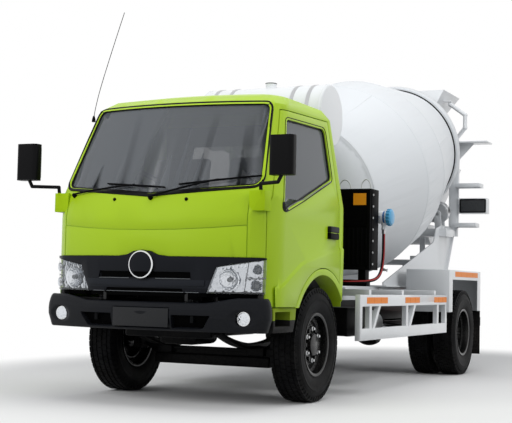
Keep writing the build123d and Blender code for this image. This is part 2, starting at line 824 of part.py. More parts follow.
def headlamps(proud, back):
    """Pair of headlamps that wrap round the cab's front corners."""
    lamps = []
    for side in (1, -1):
        with BuildPart() as cut:
            front_prism(lamp_outline(side), ahead(lamp_rear), ahead(1200), 0, 1)
        lamps.append(skin_slab(proud, back, cut.part))
    with BuildPart() as pair:
        add(lamps)
    return pair.part


seat_z = tunnel_top + cab_wall - 5 + running_gap


def seats():
    """Driver's and passenger's seats, each a plain cushion and backrest on the floor."""
    with BuildPart() as pair:
        for middle, half in ((-400, 250), (330, 340)):
            block(ahead(-190), ahead(300), middle - half, middle + half, seat_z, 1210)
            side_prism([(ahead(-190), 1200), (ahead(-60), 1200), (ahead(-150), 1790),
                        (ahead(-250), 1790)], middle - half, middle + half)
    return pair.part


def dashboard(cabin):
    """Dashboard across the cab with the steering column and wheel on the right."""
    with BuildPart() as dash:
        side_prism([(ahead(560), 1080), (ahead(1100), 1080), (ahead(1100), 1300),
                    (ahead(790), 1395), (ahead(700), 1425), (ahead(560), 1360)], -690, 690)
        add(cabin, mode=Mode.INTERSECT)
        rod((ahead(600), -400, 1260), (ahead(395), -400, 1430), 28)
        rod((ahead(400), -400, 1426), (ahead(380), -400, 1443), 60)
        wheel_plane_tilted = Plane(origin=(ahead(385), -400, 1438),
                                   z_dir=Vector(-205, 0, 170))
        with BuildSketch(wheel_plane_tilted):
            Circle(205)
            Circle(178, mode=Mode.SUBTRACT)
            Rectangle(370, 34)
            Rectangle(34, 370)
        extrude(amount=24)
    return dash.part


def mirrors(cab):
    """Mirrors with their brackets and arms, fixed on the cab's front corners."""
    with BuildPart() as pair:
        for side in (1, -1):
            middle_y = side * mirror_y
            with BuildSketch(Plane(origin=(ahead(mirror_ahead), middle_y, mirror_low_z))):
                RectangleRounded(mirror_depth, mirror_width, mirror_depth * 0.35)
            extrude(amount=mirror_height)
            arm_y = side * (bracket_y + 20)
            path = [(ahead(bracket_ahead), arm_y, bracket_low_z + 60),
                    (ahead(bracket_ahead) + 20, arm_y, arm_z),
                    (ahead(mirror_ahead), middle_y - side * 30, arm_z),
                    (ahead(mirror_ahead), middle_y, mirror_low_z + 12)]
            for start, end in zip(path, path[1:]):
                rod(start, end, arm_radius)
            for corner in path[1:-1]:
                with Locations(corner):
                    Sphere(arm_radius)
            low, high = sorted((side * (bracket_y - 60), side * (bracket_y + 50)))
            block(ahead(bracket_ahead) - 90, ahead(bracket_ahead) + 18, low, high,
                  bracket_low_z, bracket_low_z + 130)
        add(cab, mode=Mode.SUBTRACT)
    return pair.part


def cab_steps():
    """Black sill and step below each door, ahead of the wheel."""
    with BuildPart() as steps:
        for side in (1, -1):
            low, high = sorted((side * 600, side * 838))
            side_prism([(ahead(430), cab_floor_z - 2), (ahead(441), 590), (ahead(475), 505),
                        (ahead(800), 505), (ahead(800), cab_floor_z - 2)], low, high)
            pocket_low, pocket_high = sorted((side * 680, side * 840))
            block(ahead(530), ahead(770), pocket_low, pocket_high, 545, 640, mode=Mode.SUBTRACT)
            low, high = sorted((side * 620, side * 800))
            block(ahead(560), ahead(760), low, high, cab_floor_z - 3, cab_floor_z)
    return steps.part


# ================================================================ body on the chassis
def bumper_face(inset, rear_x, height):
    """One plan section of the front bumper, a set distance inside its skin, at a height."""
    half = bumper_half_width - inset
    corner_x = ahead(928 - inset)
    corner_y = 790 - inset * 0.7
    rear = ahead(rear_x)
    with BuildSketch(Plane.XY.offset(height)) as face:
        with BuildLine():
            Line((rear, half), (ahead(850), half))
            TangentArc((ahead(850), half), (corner_x, corner_y), tangent=(1, 0))
            ThreePointArc((corner_x, corner_y), (ahead(bumper_front - inset), 0),
                          (corner_x, -corner_y))
            TangentArc((ahead(850), -half), (corner_x, -corner_y), tangent=(1, 0))
            Line((ahead(850), -half), (rear, -half))
            Line((rear, -half), (rear, half))
        make_face()
    return face.sketch


def front_bumper():
    """Front bumper skin with its lamp recesses, plate recess and lower intakes."""
    # columns: height, inset of the skin
    bands = [(503, 30), (590, 0), (660, 0), (726, 14)]
    with BuildPart() as core:
        for (low_z, low_in), (high_z, high_in) in zip(bands, bands[1:]):
            loft([bumper_face(low_in + bumper_wall, 820, low_z),
                  bumper_face(high_in + bumper_wall, 820, high_z)], ruled=True)
    with BuildPart() as skin:
        for (low_z, low_in), (high_z, high_in) in zip(bands, bands[1:]):
            loft([bumper_face(low_in, bumper_rear, low_z),
                  bumper_face(high_in, bumper_rear, high_z)], ruled=True)
        add(core.part, mode=Mode.SUBTRACT)
        front_prism([(-420, 690), (420, 690), (690, 727), (690, 800), (-690, 800),
                     (-690, 727)], ahead(700), ahead(1200), 0, mode=Mode.SUBTRACT)
        block(ahead(1052), ahead(1200), -plate_half_width, plate_half_width, plate_low,
              plate_high, mode=Mode.SUBTRACT)
        for side in (1, -1):
            front_prism([(side * y, z) for y, z in intake_corners], ahead(900), ahead(1200), 0,
                        mode=Mode.SUBTRACT)
        for side in (1, -1):
            rod((ahead(850), side * fog_y, fog_z), (ahead(1100), side * fog_y, fog_z),
                fog_radius, mode=Mode.SUBTRACT)
            low, high = sorted((side * (rail_outer_y - 26), side * (rail_outer_y - 2)))
            block(ahead(rail_front) + running_gap, ahead(1020), low, high, 560, 660)
    return skin.part


def fog_lamps():
    """Round fog lamps seated in the bumper."""
    with BuildPart() as pair:
        for side in (1, -1):
            rod((ahead(900), side * fog_y, fog_z), (ahead(fog_front), side * fog_y, fog_z),
                fog_radius - running_gap)
    return pair.part


def fuel_tank():
    """Fuel tank on the right rail with its two straps and brackets."""
    with BuildPart() as tank:
        with BuildSketch(Plane(origin=(ahead(-1650), 0, 0), x_dir=(0, 1, 0), z_dir=(1, 0, 0))):
            with Locations((-610, 545)):
                RectangleRounded(400, 330, 60)
        extrude(amount=700)
        for place in (-1500, -1100):
            block(ahead(place) - 20, ahead(place) + 20, -420, -rail_outer_y - running_gap,
                  540, 690)
    return tank.part


def battery_box():
    """Battery box on the left rail, behind the cab."""
    with BuildPart() as box:
        block(ahead(-1130), ahead(-640), 430, 800, 440, 655)
        block(ahead(-1080), ahead(-1040), rail_outer_y + running_gap, 440, 540, 640)
        block(ahead(-730), ahead(-690), rail_outer_y + running_gap, 440, 540, 640)
    return box.part


def exhaust():
    """Silencer on the left rail with its tail pipe."""
    with BuildPart() as pipe:
        rod((ahead(-1350), 530, 510), (ahead(-1950), 530, 510), 105)
        rod((ahead(-1940), 530, 470), (ahead(-2350), 530, 440), 28)
        for place in (-1480, -1820):
            block(ahead(place) - 15, ahead(place) + 15, rail_outer_y + running_gap, 500, 545, 575)
    return pipe.part


# ================================================================ mixer
def mixer_subframe():
    """White beams along both rails, joined by cross members."""
    with BuildPart() as beams:
        for side in (1, -1):
            low, high = sorted((side * (rail_outer_y - 70), side * rail_outer_y))
            side_prism([(ahead(subframe_front), rail_top), (ahead(rail_rear), rail_top),
                        (ahead(rail_rear), subframe_top), (ahead(subframe_front) - 120,
                                                           subframe_top)], low, high)
        for place in subframe_cross_places:
            block(ahead(place) - 40, ahead(place) + 40, -rail_outer_y + 60, rail_outer_y - 60,
                  rail_top + 20, subframe_top - 5)
    return beams.part


def outriggers():
    """Arms with upright feet, bolted to the beams, that carry the side guards."""
    foot = rail_outer_y + running_gap
    with BuildPart() as arms:
        for side in (1, -1):
            for place in outrigger_places:
                low, high = sorted((side * foot, side * (guard_inner_y - running_gap)))
                block(ahead(place) - 25, ahead(place) + 25, low, high, outrigger_z - 25,
                      outrigger_z + 25)
                low, high = sorted((side * foot, side * (rail_outer_y + 40)))
                block(ahead(place) - 25, ahead(place) + 25, low, high, outrigger_z - 25,
                      subframe_top - 10)
    return arms.part


def front_pedestal():
    """A-shaped stand that carries the drum gearbox and the water tank."""
    foot = subframe_top
    with BuildPart() as stand:
        for side in (1, -1):
            low, high = sorted((side * 230, side * 242))
            side_prism([(ahead(-955), foot), (ahead(-1400), foot), (ahead(-1215), 1500),
                        (ahead(-1060), 1500)], low, high)
            low, high = sorted((side * 230, side * rail_outer_y))
            block(ahead(-1400), ahead(-955), low, high, foot, foot + 14)
        block(ahead(-1190), ahead(-1060), -231, 231, foot, 1130)
        for side in (1, -1):
            low, high = sorted((side * tank_post_y, side * (tank_post_y + 60)))
            block(ahead(tank_ahead) - 30, ahead(tank_ahead) + 30, low, high, foot,
                  tank_z - tank_radius + 24)
            block(ahead(tank_ahead) - 120, ahead(tank_ahead) + 120, low, high,
                  tank_z - tank_radius - 30, tank_z - tank_radius + 60)
            rod((ahead(tank_ahead), low - 1, tank_z), (ahead(tank_ahead), high + 1, tank_z),
                tank_radius + running_gap, mode=Mode.SUBTRACT)
        with BuildSketch(Plane(origin=drum_point(70), x_dir=(0, 1, 0), z_dir=drum_axis_dir)):
            Rectangle(462, 420)
            Circle(gearbox_radius + running_gap, mode=Mode.SUBTRACT)
        extrude(amount=20)
    return stand.part


def drum_gearbox():
    """Drum gearbox and its oil motor on the front stand."""
    axial = Plane(origin=drum_point(-150), z_dir=drum_axis_dir)
    with BuildPart() as box:
        with BuildSketch(axial):
            Circle(70)
        extrude(amount=160)
        with BuildSketch(axial.offset(120)):
            Circle(gearbox_radius)
        extrude(amount=150 + hub_station - 120 - moving_gap)
        with BuildSketch(axial.offset(200)):
            Circle(gearbox_radius + 34)
        extrude(amount=20 - running_gap)
    return box.part


def water_tank():
    """Round water tank lying across behind the cab, with its filler neck and end rims."""
    with BuildPart() as tank:
        rod((ahead(tank_ahead), -tank_half_length + 12, tank_z),
            (ahead(tank_ahead), tank_half_length - 12, tank_z), tank_radius)
        for side in (1, -1):
            with BuildSketch(Plane(origin=(ahead(tank_ahead), side * (tank_half_length - 12),
                                           tank_z), z_dir=(0, side, 0))):
                Circle(tank_radius)
            extrude(amount=12, taper=45)
        rod((ahead(tank_ahead), 0, tank_z + tank_radius - 20),
            (ahead(tank_ahead), 0, tank_z + tank_radius + 40), 45)
    return tank.part


def oil_cooler():
    """Black oil cooler standing on the left, with its finned lower half."""
    with BuildPart() as cooler:
        block(ahead(cooler_front - cooler_depth), ahead(cooler_front), cooler_inner_y,
              cooler_outer_y, cooler_low_z, cooler_top_z)
        pitch = (cooler_outer_y - cooler_inner_y - 60) / (fin_count - 1)
        for index in range(fin_count):
            middle = cooler_inner_y + 30 + index * pitch
            block(ahead(cooler_front), ahead(cooler_front) + fin_proud, middle - fin_width / 2,
                  middle + fin_width / 2, cooler_low_z + 40, cooler_low_z + 320)
        for place in (cooler_inner_y + 10, cooler_outer_y - 110):
            block(ahead(cooler_front - cooler_depth) + 55, ahead(cooler_front) - 40, place,
                  place + 60, subframe_top + 30, cooler_low_z + 1)
        block(ahead(cooler_front - cooler_depth) + 55, ahead(cooler_front) - 40,
              rail_outer_y - 50, cooler_outer_y - 40, subframe_top + running_gap,
              subframe_top + 50)
    return cooler.part


def water_meter():
    """Water meter outside the cooler, with its pipe stub, dial cap and the hose below."""
    x = ahead(meter_ahead)
    with BuildPart() as meter:
        rod((x, meter_y - 80, meter_z), (x, meter_y, meter_z), meter_radius - 14)
        rod((x, meter_y, meter_z), (x, meter_y + meter_cap, meter_z), meter_radius)
        rod((x, meter_y - 30, meter_z - 95), (x, meter_y - 30, meter_z), 17)
        rod((x, meter_y - meter_pipe_in, meter_z),
            (ahead(cooler_front) - cooler_depth - running_gap, meter_y - meter_pipe_in,
             meter_z), 17)
    return meter.part


def meter_hose():
    """Water hose from the meter, down and inboard under the cooler, to the subframe."""
    x = ahead(meter_ahead)
    y = meter_y - 30
    front = ahead(cooler_front) + 50
    top = (x, y, meter_z - 95 - running_gap)
    end = (front, hose_inner_y, subframe_top + running_gap)
    with BuildPart() as hose:
        with BuildLine():
            route = FilletPolyline(top, (x, y, hose_z), (front, y, hose_z),
                                   (front, hose_inner_y, hose_z), end, radius=hose_bend)
        with BuildSketch(Plane(origin=top, z_dir=route % 0)):
            Circle(hose_radius)
        sweep(path=route)
    return hose.part


def rear_pedestal():
    """Rear stand: gussets, roller beam, roller lugs and the columns of the hopper frame."""
    foot = subframe_top
    with BuildPart() as stand:
        for side in (1, -1):
            low, high = sorted((side * gusset_y, side * (gusset_y + gusset_thickness)))
            side_prism([(ahead(-2450), foot), (ahead(-2450), foot + 40), (ahead(-4020), 1290),
                        (ahead(-4110), 1440), (ahead(-4300), 1480), (ahead(-4740), 1480),
                        (ahead(-4340), foot)], low, high)
            low, high = sorted((side * (rail_outer_y - 70), side * (gusset_y + 40)))
            block(ahead(-4340), ahead(-2450), low, high, foot, foot + 12)
            low, high = sorted((side * (gusset_y - 30), side * (gusset_y + 40)))
            side_prism([(ahead(-4340), foot), (ahead(-4325), foot), (ahead(-4725), 1480),
                        (ahead(-4740), 1480)], low, high)
            low, high = sorted((side * column_y, side * (column_y + column_width)))
            block(ahead(column_ahead) - 30, ahead(column_ahead) + 30, low, high, 1380, 2440)
            hoop = [(side * (column_y + 30), 2400), (side * 590, 2560), (side * 590, 2700),
                    (side * 425, hoop_top_z - hoop_radius - 4 - running_gap)]
            for (start_y, start_z), (end_y, end_z) in zip(hoop, hoop[1:]):
                rod((ahead(column_ahead), start_y, start_z), (ahead(column_ahead), end_y, end_z),
                    hoop_radius)
            for knee_y, knee_z in hoop[1:]:
                with Locations((ahead(column_ahead), knee_y, knee_z)):
                    Sphere(hoop_radius + 4)
        block(ahead(-4330) - 130, ahead(-4330) + 130, -540, 540, 1360, 1440)
        block(ahead(column_ahead) - 30, ahead(column_ahead) + 40, -520, 520, 1380, 1440)
        block(ahead(-4560), ahead(-4480), -gusset_y - 1, gusset_y + 1, 1060, 1120)
        block(ahead(chute_ahead), ahead(-4500), -30, 30, 1050, 1115)
        rod((ahead(chute_ahead), 0, socket_low), (ahead(chute_ahead), 0, socket_top), 52)
        rod((ahead(chute_ahead), 0, socket_low - 1), (ahead(chute_ahead), 0, socket_top + 1),
            swivel_radius + running_gap, mode=Mode.SUBTRACT)
        for side in (1, -1):
            low, high = sorted((side * gusset_y, side * (gusset_y + 60)))
            block(ahead(column_ahead) - 30, ahead(-4330), low, high, 1380, 1440)
        for station in (ring_station - roller_width / 2 - 22, ring_station + roller_width / 2 + 8):
            lug_plane = Plane(origin=drum_point(station), x_dir=(0, 1, 0), z_dir=drum_axis_dir)
            with BuildSketch(lug_plane):
                for side in (1, -1):
                    with Locations((side * roller_place_y, roller_place_down)):
                        Circle(36)
                    with Locations((side * roller_place_y, roller_place_down + 95)):
                        Rectangle(72, 190)
                    with Locations((side * roller_place_y, roller_place_down)):
                        Circle(roller_pin_radius + running_gap, mode=Mode.SUBTRACT)
            extrude(amount=14)
    return stand.part


def roller(side):
    """One support roller of the drum with its pin."""
    plane = Plane(origin=drum_point(ring_station - roller_width / 2), x_dir=(0, 1, 0),
                  z_dir=drum_axis_dir)
    with BuildPart() as wheel:
        with BuildSketch(plane):
            with Locations((side * roller_place_y, roller_place_down)):
                Circle(roller_radius - running_gap)
        extrude(amount=roller_width)
        with BuildSketch(plane.offset(-24)):
            with Locations((side * roller_place_y, roller_place_down)):
                Circle(roller_pin_radius)
        extrude(amount=roller_width + 48)
    return wheel.part


def drum():
    """Welded drum shell: dished head, cones, barrel, roller ring and open mouth."""
    with BuildPart() as shell:
        with BuildSketch(drum_plane):
            with BuildLine():
                Polyline((hub_station, 0), (hub_station, hub_plate_radius))
                ThreePointArc((hub_station, hub_plate_radius), (hub_station + 62, 450),
                              (head_station - 22, head_radius - 22))
                ThreePointArc((head_station - 22, head_radius - 22),
                              (head_station - 6, head_radius - 4), (head_station + 20, head_radius + 8))
                Polyline((head_station + 20, head_radius + 8), (barrel_station, drum_radius),
                         (barrel_end_station, barrel_end_radius), (mouth_station, mouth_radius),
                         (mouth_station, 0), (hub_station, 0))
            make_face()
        revolve(axis=drum_axis)
        with BuildSketch(drum_plane):
            with Locations((ring_station, ring_radius / 2)):
                Rectangle(ring_width, ring_radius)
        revolve(axis=drum_axis)
        wall = drum_wall
        with BuildSketch(drum_plane):
            with BuildLine():
                Polyline((hub_station + 14, 0), (hub_station + 14, hub_plate_radius - 4))
                ThreePointArc((hub_station + 14, hub_plate_radius - 4), (hub_station + 62 + wall, 446),
                              (head_station - 16, head_radius - 28))
                Polyline((head_station - 16, head_radius - 28),
                         (head_station + 22, head_radius + 1), (barrel_station, drum_radius - wall),
                         (barrel_end_station, barrel_end_radius - wall),
                         (mouth_station + 1, mouth_radius - wall), (mouth_station + 1, 0),
                         (hub_station + 14, 0))
            make_face()
        revolve(axis=drum_axis, mode=Mode.SUBTRACT)
    return shell.part


def funnel(low, high, wall):
    """Open four-sided funnel between two levels, added to the current part.

    Each level is (height, middle ahead, half length, half width)."""
    for inset, mode in ((0, Mode.ADD), (wall, Mode.SUBTRACT)):
        levels = []
        for height, middle, half_x, half_y in (low, high):
            with BuildSketch(Plane(origin=(ahead(middle), 0, height))) as level:
                Rectangle(2 * (half_x - inset), 2 * (half_y - inset))
            levels.append(level.sketch)
        loft(levels, ruled=True, mode=mode)


def charging_hopper():
    """Charging hopper above the drum's mouth, with its spout down into the drum."""
    with BuildPart() as hopper:
        funnel((2420, -4500, 115, 155), (2960, -4840, 320, 400), 5)
        for side in (1, -1):
            low, high = sorted((side * 348, side * 440))
            block(ahead(column_ahead) - 30, ahead(column_ahead) + 30, low, high, hoop_top_z,
                  hoop_top_z + 12)
    return hopper.part


def discharge_hopper():
    """Collecting hopper under the drum's mouth, with its outlet over the chute."""
    with BuildPart() as hopper:
        funnel((1560, -5005, 120, 150), (2150, -4950, 205, column_y - running_gap), 5)
        block(ahead(-4752), ahead(-4500), -500, 500, 1790, 2200, mode=Mode.SUBTRACT)
        for side in (1, -1):
            low, high = sorted((side * (column_y - 35), side * (column_y + 40)))
            block(ahead(-4800), ahead(column_ahead) - 30 - running_gap, low, high, 2080, 2110)
    return hopper.part


def ladder():
    """Steps and platform on the left column."""
    start = column_y + column_width + running_gap
    with BuildPart() as steps:
        for reach, height in ((750, 1500), (790, 1925)):
            block(ahead(column_ahead) - 40, ahead(column_ahead) + 120, start, reach,
                  height - 22, height + 22)
            block(ahead(column_ahead) - 30, ahead(column_ahead) + 110, start + 5, reach - 8,
                  height - 23, height + 14, mode=Mode.SUBTRACT)
        block(ahead(column_ahead) - 120, ahead(column_ahead) + 120, start, 860, 2385, 2400)
        with BuildSketch(Plane(origin=(ahead(column_ahead) - 6, 0, 0), x_dir=(0, 1, 0),
                               z_dir=(1, 0, 0))):
            with BuildLine():
                Polyline((start, 2200), (start, 2390), (700, 2390), close=True)
            make_face()
        extrude(amount=12)
        block(ahead(column_ahead) - 20, ahead(column_ahead) + 20, start, start + 10, 1470, 2390)
    return steps.part


def control_box():
    """Lever box for the drum, in its black frame beside the left column."""
    low = column_y + column_width + 30
    with BuildPart() as box:
        block(ahead(column_ahead) - 60, ahead(column_ahead) + 60, low, low + 300, 1625, 1790)
        block(ahead(column_ahead) + 10, ahead(column_ahead) + 61, low + 18, low + 282, 1645, 1770,
              mode=Mode.SUBTRACT)
        block(ahead(column_ahead) - 20, ahead(column_ahead) + 20, low - 20 + running_gap, low + 1,
              1690, 1730)
        for index in range(3):
            rod((ahead(column_ahead) + 9, low + 80 + index * 70, 1700),
                (ahead(column_ahead) + 50, low + 80 + index * 70, 1720), 9)
    return box.part


def side_guard(side):
    """White guard frame between the axles: two rails, posts and braces."""
    low, high = sorted((side * guard_inner_y, side * guard_outer_y))
    with BuildPart() as guard:
        block(ahead(guard_rear), ahead(guard_front), low, high, guard_top - rail_depth, guard_top)
        block(ahead(guard_rear), ahead(guard_front), low, high, guard_low, guard_low + rail_depth)
        for place in guard_posts:
            block(ahead(place) - 25, ahead(place) + 25, low, high, guard_low, guard_top)
        for start, end in guard_braces:
            with BuildSketch(Plane(origin=(0, high, 0), x_dir=(1, 0, 0), z_dir=(0, -1, 0))):
                with BuildLine():
                    Polyline((ahead(start) - 22, guard_low + 20), (ahead(start) + 22, guard_low + 20),
                             (ahead(end) + 22, guard_top - 20), (ahead(end) - 22, guard_top - 20),
                             close=True)
                make_face()
            extrude(amount=high - low)
    return guard.part


def mudguard(side):
    """Box mudguard over the twin rear wheels with its legs and mounting arm."""
    wall = 5
    front = rear_axle_x + 565
    rear = rear_axle_x - 565
    low, high = sorted((side * 560, side * half_width))
    with BuildPart() as guard:
        block(rear, front, low, high, 600, 990)
        inner_low, inner_high = sorted((side * 550, side * (half_width - wall)))
        block(rear + wall, front - wall, inner_low, inner_high, 590, 990 - wall,
              mode=Mode.SUBTRACT)
        skirt_low, skirt_high = sorted((side * (half_width - wall - 1), side * (half_width + 1)))
        block(rear + 115, front - 115, skirt_low, skirt_high, 590, 900, mode=Mode.SUBTRACT)
        arm_low, arm_high = sorted((side * (rail_outer_y + running_gap), side * 565))
        for place in (rear + 25, front - 25):
            block(place - 20, place + 20, arm_low, arm_high, 760, 800)
    return guard.part


def mud_flaps():
    """Black flaps hanging behind the rear wheels."""
    rear = rear_axle_x - 565
    with BuildPart() as flaps:
        for side in (1, -1):
            low, high = sorted((side * 600, side * (half_width - 2)))
            block(rear - 6 - running_gap, rear - running_gap, low, high, 170, 700)
    return flaps.part


def rear_bar():
    """Under-run bar with its hangers."""
    with BuildPart() as bar:
        block(ahead(rail_rear) - 60, ahead(rail_rear) + 20, -rear_bar_half, rear_bar_half, 420,
              515)
        for side in (1, -1):
            low, high = sorted((side * (rail_outer_y + running_gap), side * (rail_outer_y + 12)))
            block(ahead(rail_rear) - 20, ahead(rail_rear) + 90, low, high, 430, 640)
    return bar.part


def rear_lamps():
    """Rear lamp clusters on the under-run bar."""
    with BuildPart() as lamps:
        for side in (1, -1):
            low, high = sorted((side * (rear_bar_half - 300), side * (rear_bar_half - 20)))
            block(ahead(rail_rear) - 58, ahead(rail_rear), low, high, 515 + running_gap, 625)
    return lamps.part


def chute_bracket():
    """Swivel of the chute: a post in the rear frame's socket, with two trunnion lugs."""
    with BuildPart() as swivel:
        beam_top = swivel_beam_z + swivel_beam_depth
        rod((ahead(chute_ahead), 0, socket_low), (ahead(chute_ahead), 0, beam_top), swivel_radius)
        block(ahead(chute_ahead) - 217, ahead(chute_ahead) + 217, -40, trunnion_y + 30,
              swivel_beam_z, beam_top)
        for low, high in ((205, 217), (-217, -205)):
            block(ahead(chute_ahead) + low, ahead(chute_ahead) + high, trunnion_y - 30,
                  trunnion_y + 30, swivel_beam_z, trunnion_z + 28)
        rod((ahead(chute_ahead) - 240, trunnion_y, trunnion_z),
            (ahead(chute_ahead) + 240, trunnion_y, trunnion_z), trunnion_radius + running_gap,
            mode=Mode.SUBTRACT)
    return swivel.part


def chute():
    """Half-round discharge chute with its trunnions, stowed across the back of the truck."""
    spring_line = chute_rim_z - 36

    head_plane = Plane(origin=(ahead(chute_ahead), chute_head_y, 0), x_dir=(1, 0, 0),
                       z_dir=(0, -1, 0))
    with BuildPart() as trough:
        for radius, start, mode in ((chute_radius, 0, Mode.ADD),
                                    (chute_radius - chute_wall, chute_wall, Mode.SUBTRACT)):
            with BuildSketch(head_plane.offset(start)):
                with BuildLine():
                    Line((-radius, chute_rim_z), (-radius, spring_line))
                    ThreePointArc((-radius, spring_line), (0, spring_line - radius),
                                  (radius, spring_line))
                    Polyline((radius, spring_line), (radius, chute_rim_z), (-radius, chute_rim_z))
                make_face()
            extrude(amount=chute_length, mode=mode)
        for side in (1, -1):
            rod((ahead(chute_ahead) + side * (chute_radius - 24), trunnion_y, trunnion_z),
                (ahead(chute_ahead) + side * 225, trunnion_y, trunnion_z), trunnion_radius)
            low, high = sorted((side * (chute_radius - chute_wall), side * (chute_radius + 14)))
            block(ahead(chute_ahead) + low, ahead(chute_ahead) + high,
                  chute_head_y - chute_length, chute_head_y, chute_rim_z - 6, chute_rim_z)
    return trough.part


# ================================================================ build and write
os.makedirs("parts", exist_ok=True)

skin = {}
for depth in (-bar_proud, -fender_proud, -13, -12, -running_gap, 0, 5, cab_wall,
              cab_wall + running_gap, door_thickness, 14, 20, 20 + glass_thickness, lamp_depth,
              lamp_depth + running_gap):
    skin[depth] = cab_volume(depth)
bulge = {side: fender_bulge(side, skin[-fender_proud], skin[0]) for side in (1, -1)}

save(chassis_frame(), "chassis_frame")
save(engine(), "engine")
save(front_axle(), "front_axle")
save(rear_axle(), "rear_axle")
save(leaf_springs(), "leaf_springs")
for side, name in ((1, "left"), (-1, "right")):
    front_middle = side * front_track / 2
    outer_middle = side * (rear_track + twin_spacing) / 2
    inner_middle = side * (rear_track - twin_spacing) / 2
    save(tyre(ahead(0), [front_middle]), f"tyre_front_{name}")
    save(tyre(rear_axle_x, [outer_middle, inner_middle]), f"tyres_rear_{name}")
    save(front_wheel(side), f"wheel_front_{name}")
    save(rear_wheel(side), f"wheel_rear_{name}")
    save(knuckle(side), f"knuckle_{name}")
    save(door(side, skin[0], skin[door_thickness], bulge[side]), f"door_{name}")
    save(door_glass(side, skin[20], skin[20 + glass_thickness]), f"door_glass_{name}")
    save(side_guard(side), f"side_guard_{name}")
    save(mudguard(side), f"mudguard_{name}")
    save(roller(side), f"roller_{name}")
seams = skin_slab(skin[-running_gap], skin[5], panel_seams())
save(cab_shell(skin[0], skin[cab_wall], skin[-13],
               skin[lamp_depth + running_gap], list(bulge.values()), seams), "cab_shell")
save(windscreen(skin[14], skin[20]), "cab_glass")
save(grille(skin[-12], skin[lamp_depth], skin[0], skin[-bar_proud]), "grille")
save(headlamps(skin[-12], skin[lamp_depth]), "headlamps")
save(seats(), "seats")
save(dashboard(skin[cab_wall + running_gap]), "dashboard")
save(mirrors(skin[-running_gap]), "mirrors")
save(cab_steps(), "cab_steps")
save(front_bumper(), "front_bumper")
save(fog_lamps(), "fog_lamps")
save(fuel_tank(), "fuel_tank")
save(battery_box(), "battery_box")
save(exhaust(), "exhaust")
save(mixer_subframe(), "mixer_subframe")
save(outriggers(), "outriggers")
save(front_pedestal(), "front_pedestal")
save(drum_gearbox(), "drum_gearbox")
save(water_tank(), "water_tank")
save(oil_cooler(), "oil_cooler")
save(water_meter(), "water_meter")
save(meter_hose(), "meter_hose")
save(rear_pedestal(), "rear_pedestal")
save(drum(), "drum_shell")
save(charging_hopper(), "charging_hopper")
save(discharge_hopper(), "discharge_hopper")
save(ladder(), "ladder")
save(control_box(), "control_box")
save(mud_flaps(), "mud_flaps")
save(rear_bar(), "rear_bar")
save(rear_lamps(), "rear_lamps")
save(chute_bracket(), "chute_bracket")
save(chute(), "chute")
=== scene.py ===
"""Looks of a light concrete mixer truck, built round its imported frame.

The CAD nodes give every main form and carry the joints. Each class below dresses one
sub-assembly: it bevels and shades copies of the CAD nodes, adds the fine pieces that
the solids leave out, and gives every surface its procedural finish. Distances are in
metres, and those called ahead are measured from the front axle.
"""
import json
import logging
import math
from dataclasses import dataclass
from enum import Enum
from functools import partial, reduce
from typing import Callable, Sequence

import bmesh
import bpy
from mathutils import Matrix, Vector
from mathutils.bvhtree import BVHTree


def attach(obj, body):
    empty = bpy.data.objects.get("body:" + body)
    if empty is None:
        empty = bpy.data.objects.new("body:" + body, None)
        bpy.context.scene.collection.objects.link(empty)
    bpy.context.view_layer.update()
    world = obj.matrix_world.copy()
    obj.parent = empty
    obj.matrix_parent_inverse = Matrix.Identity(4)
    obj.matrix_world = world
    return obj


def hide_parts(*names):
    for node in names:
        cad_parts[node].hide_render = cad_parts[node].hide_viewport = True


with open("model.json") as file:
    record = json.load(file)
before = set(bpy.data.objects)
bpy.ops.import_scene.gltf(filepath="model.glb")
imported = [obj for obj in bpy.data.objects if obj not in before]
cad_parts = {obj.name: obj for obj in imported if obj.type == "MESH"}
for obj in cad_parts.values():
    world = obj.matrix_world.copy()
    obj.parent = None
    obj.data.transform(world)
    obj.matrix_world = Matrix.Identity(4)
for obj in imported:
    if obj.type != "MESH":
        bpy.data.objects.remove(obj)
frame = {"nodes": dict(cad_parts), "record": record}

logging.basicConfig(level=logging.INFO, format="%(name)s: %(message)s")
log = logging.getLogger("mixer")

Point = Sequence[float]
Pair = tuple[float, float]
Triple = tuple[float, float, float]
Colour = Triple
Socket = bpy.types.NodeSocket
Piece = bpy.types.Object
Place = Callable[..., Vector]

FRONT_AXLE = 2.080  # its place ahead of the origin
WHEEL_BASE = 3.38
WHEEL_HEIGHT = 0.402  # of every wheel's middle
FRONT_TYRE = 0.7275  # middle of a tyre, aside
REAR_TYRES = (0.8625, 0.6175)  # middles of the twin tyres, aside
DRUM_TILT = 15.5  # slope of the drum's axis in degrees
SIDES = ((1, "left"), (-1, "right"))
AHEAD, ASIDE, UP = (1.0, 0.0, 0.0), (0.0, 1.0, 0.0), (0.0, 0.0, 1.0)
PURE_WHITE = (1.0, 1.0, 1.0, 1.0)
MIX_FIRST, MIX_SECOND, MIX_RESULT = 6, 7, 2  # colour sockets of a Mix node


class Body(Enum):
    """Bodies that many pieces ride on."""

    CHASSIS = "chassis"
    CAB = "cab"
    DRUM = "drum"


CHASSIS, CAB, DRUM = (body.value for body in Body)


def ahead(distance: float) -> float:
    """Returns the x place a distance ahead of the front axle, in metres."""
    return FRONT_AXLE + distance


# ------------------------------------------------------------------ shader groups


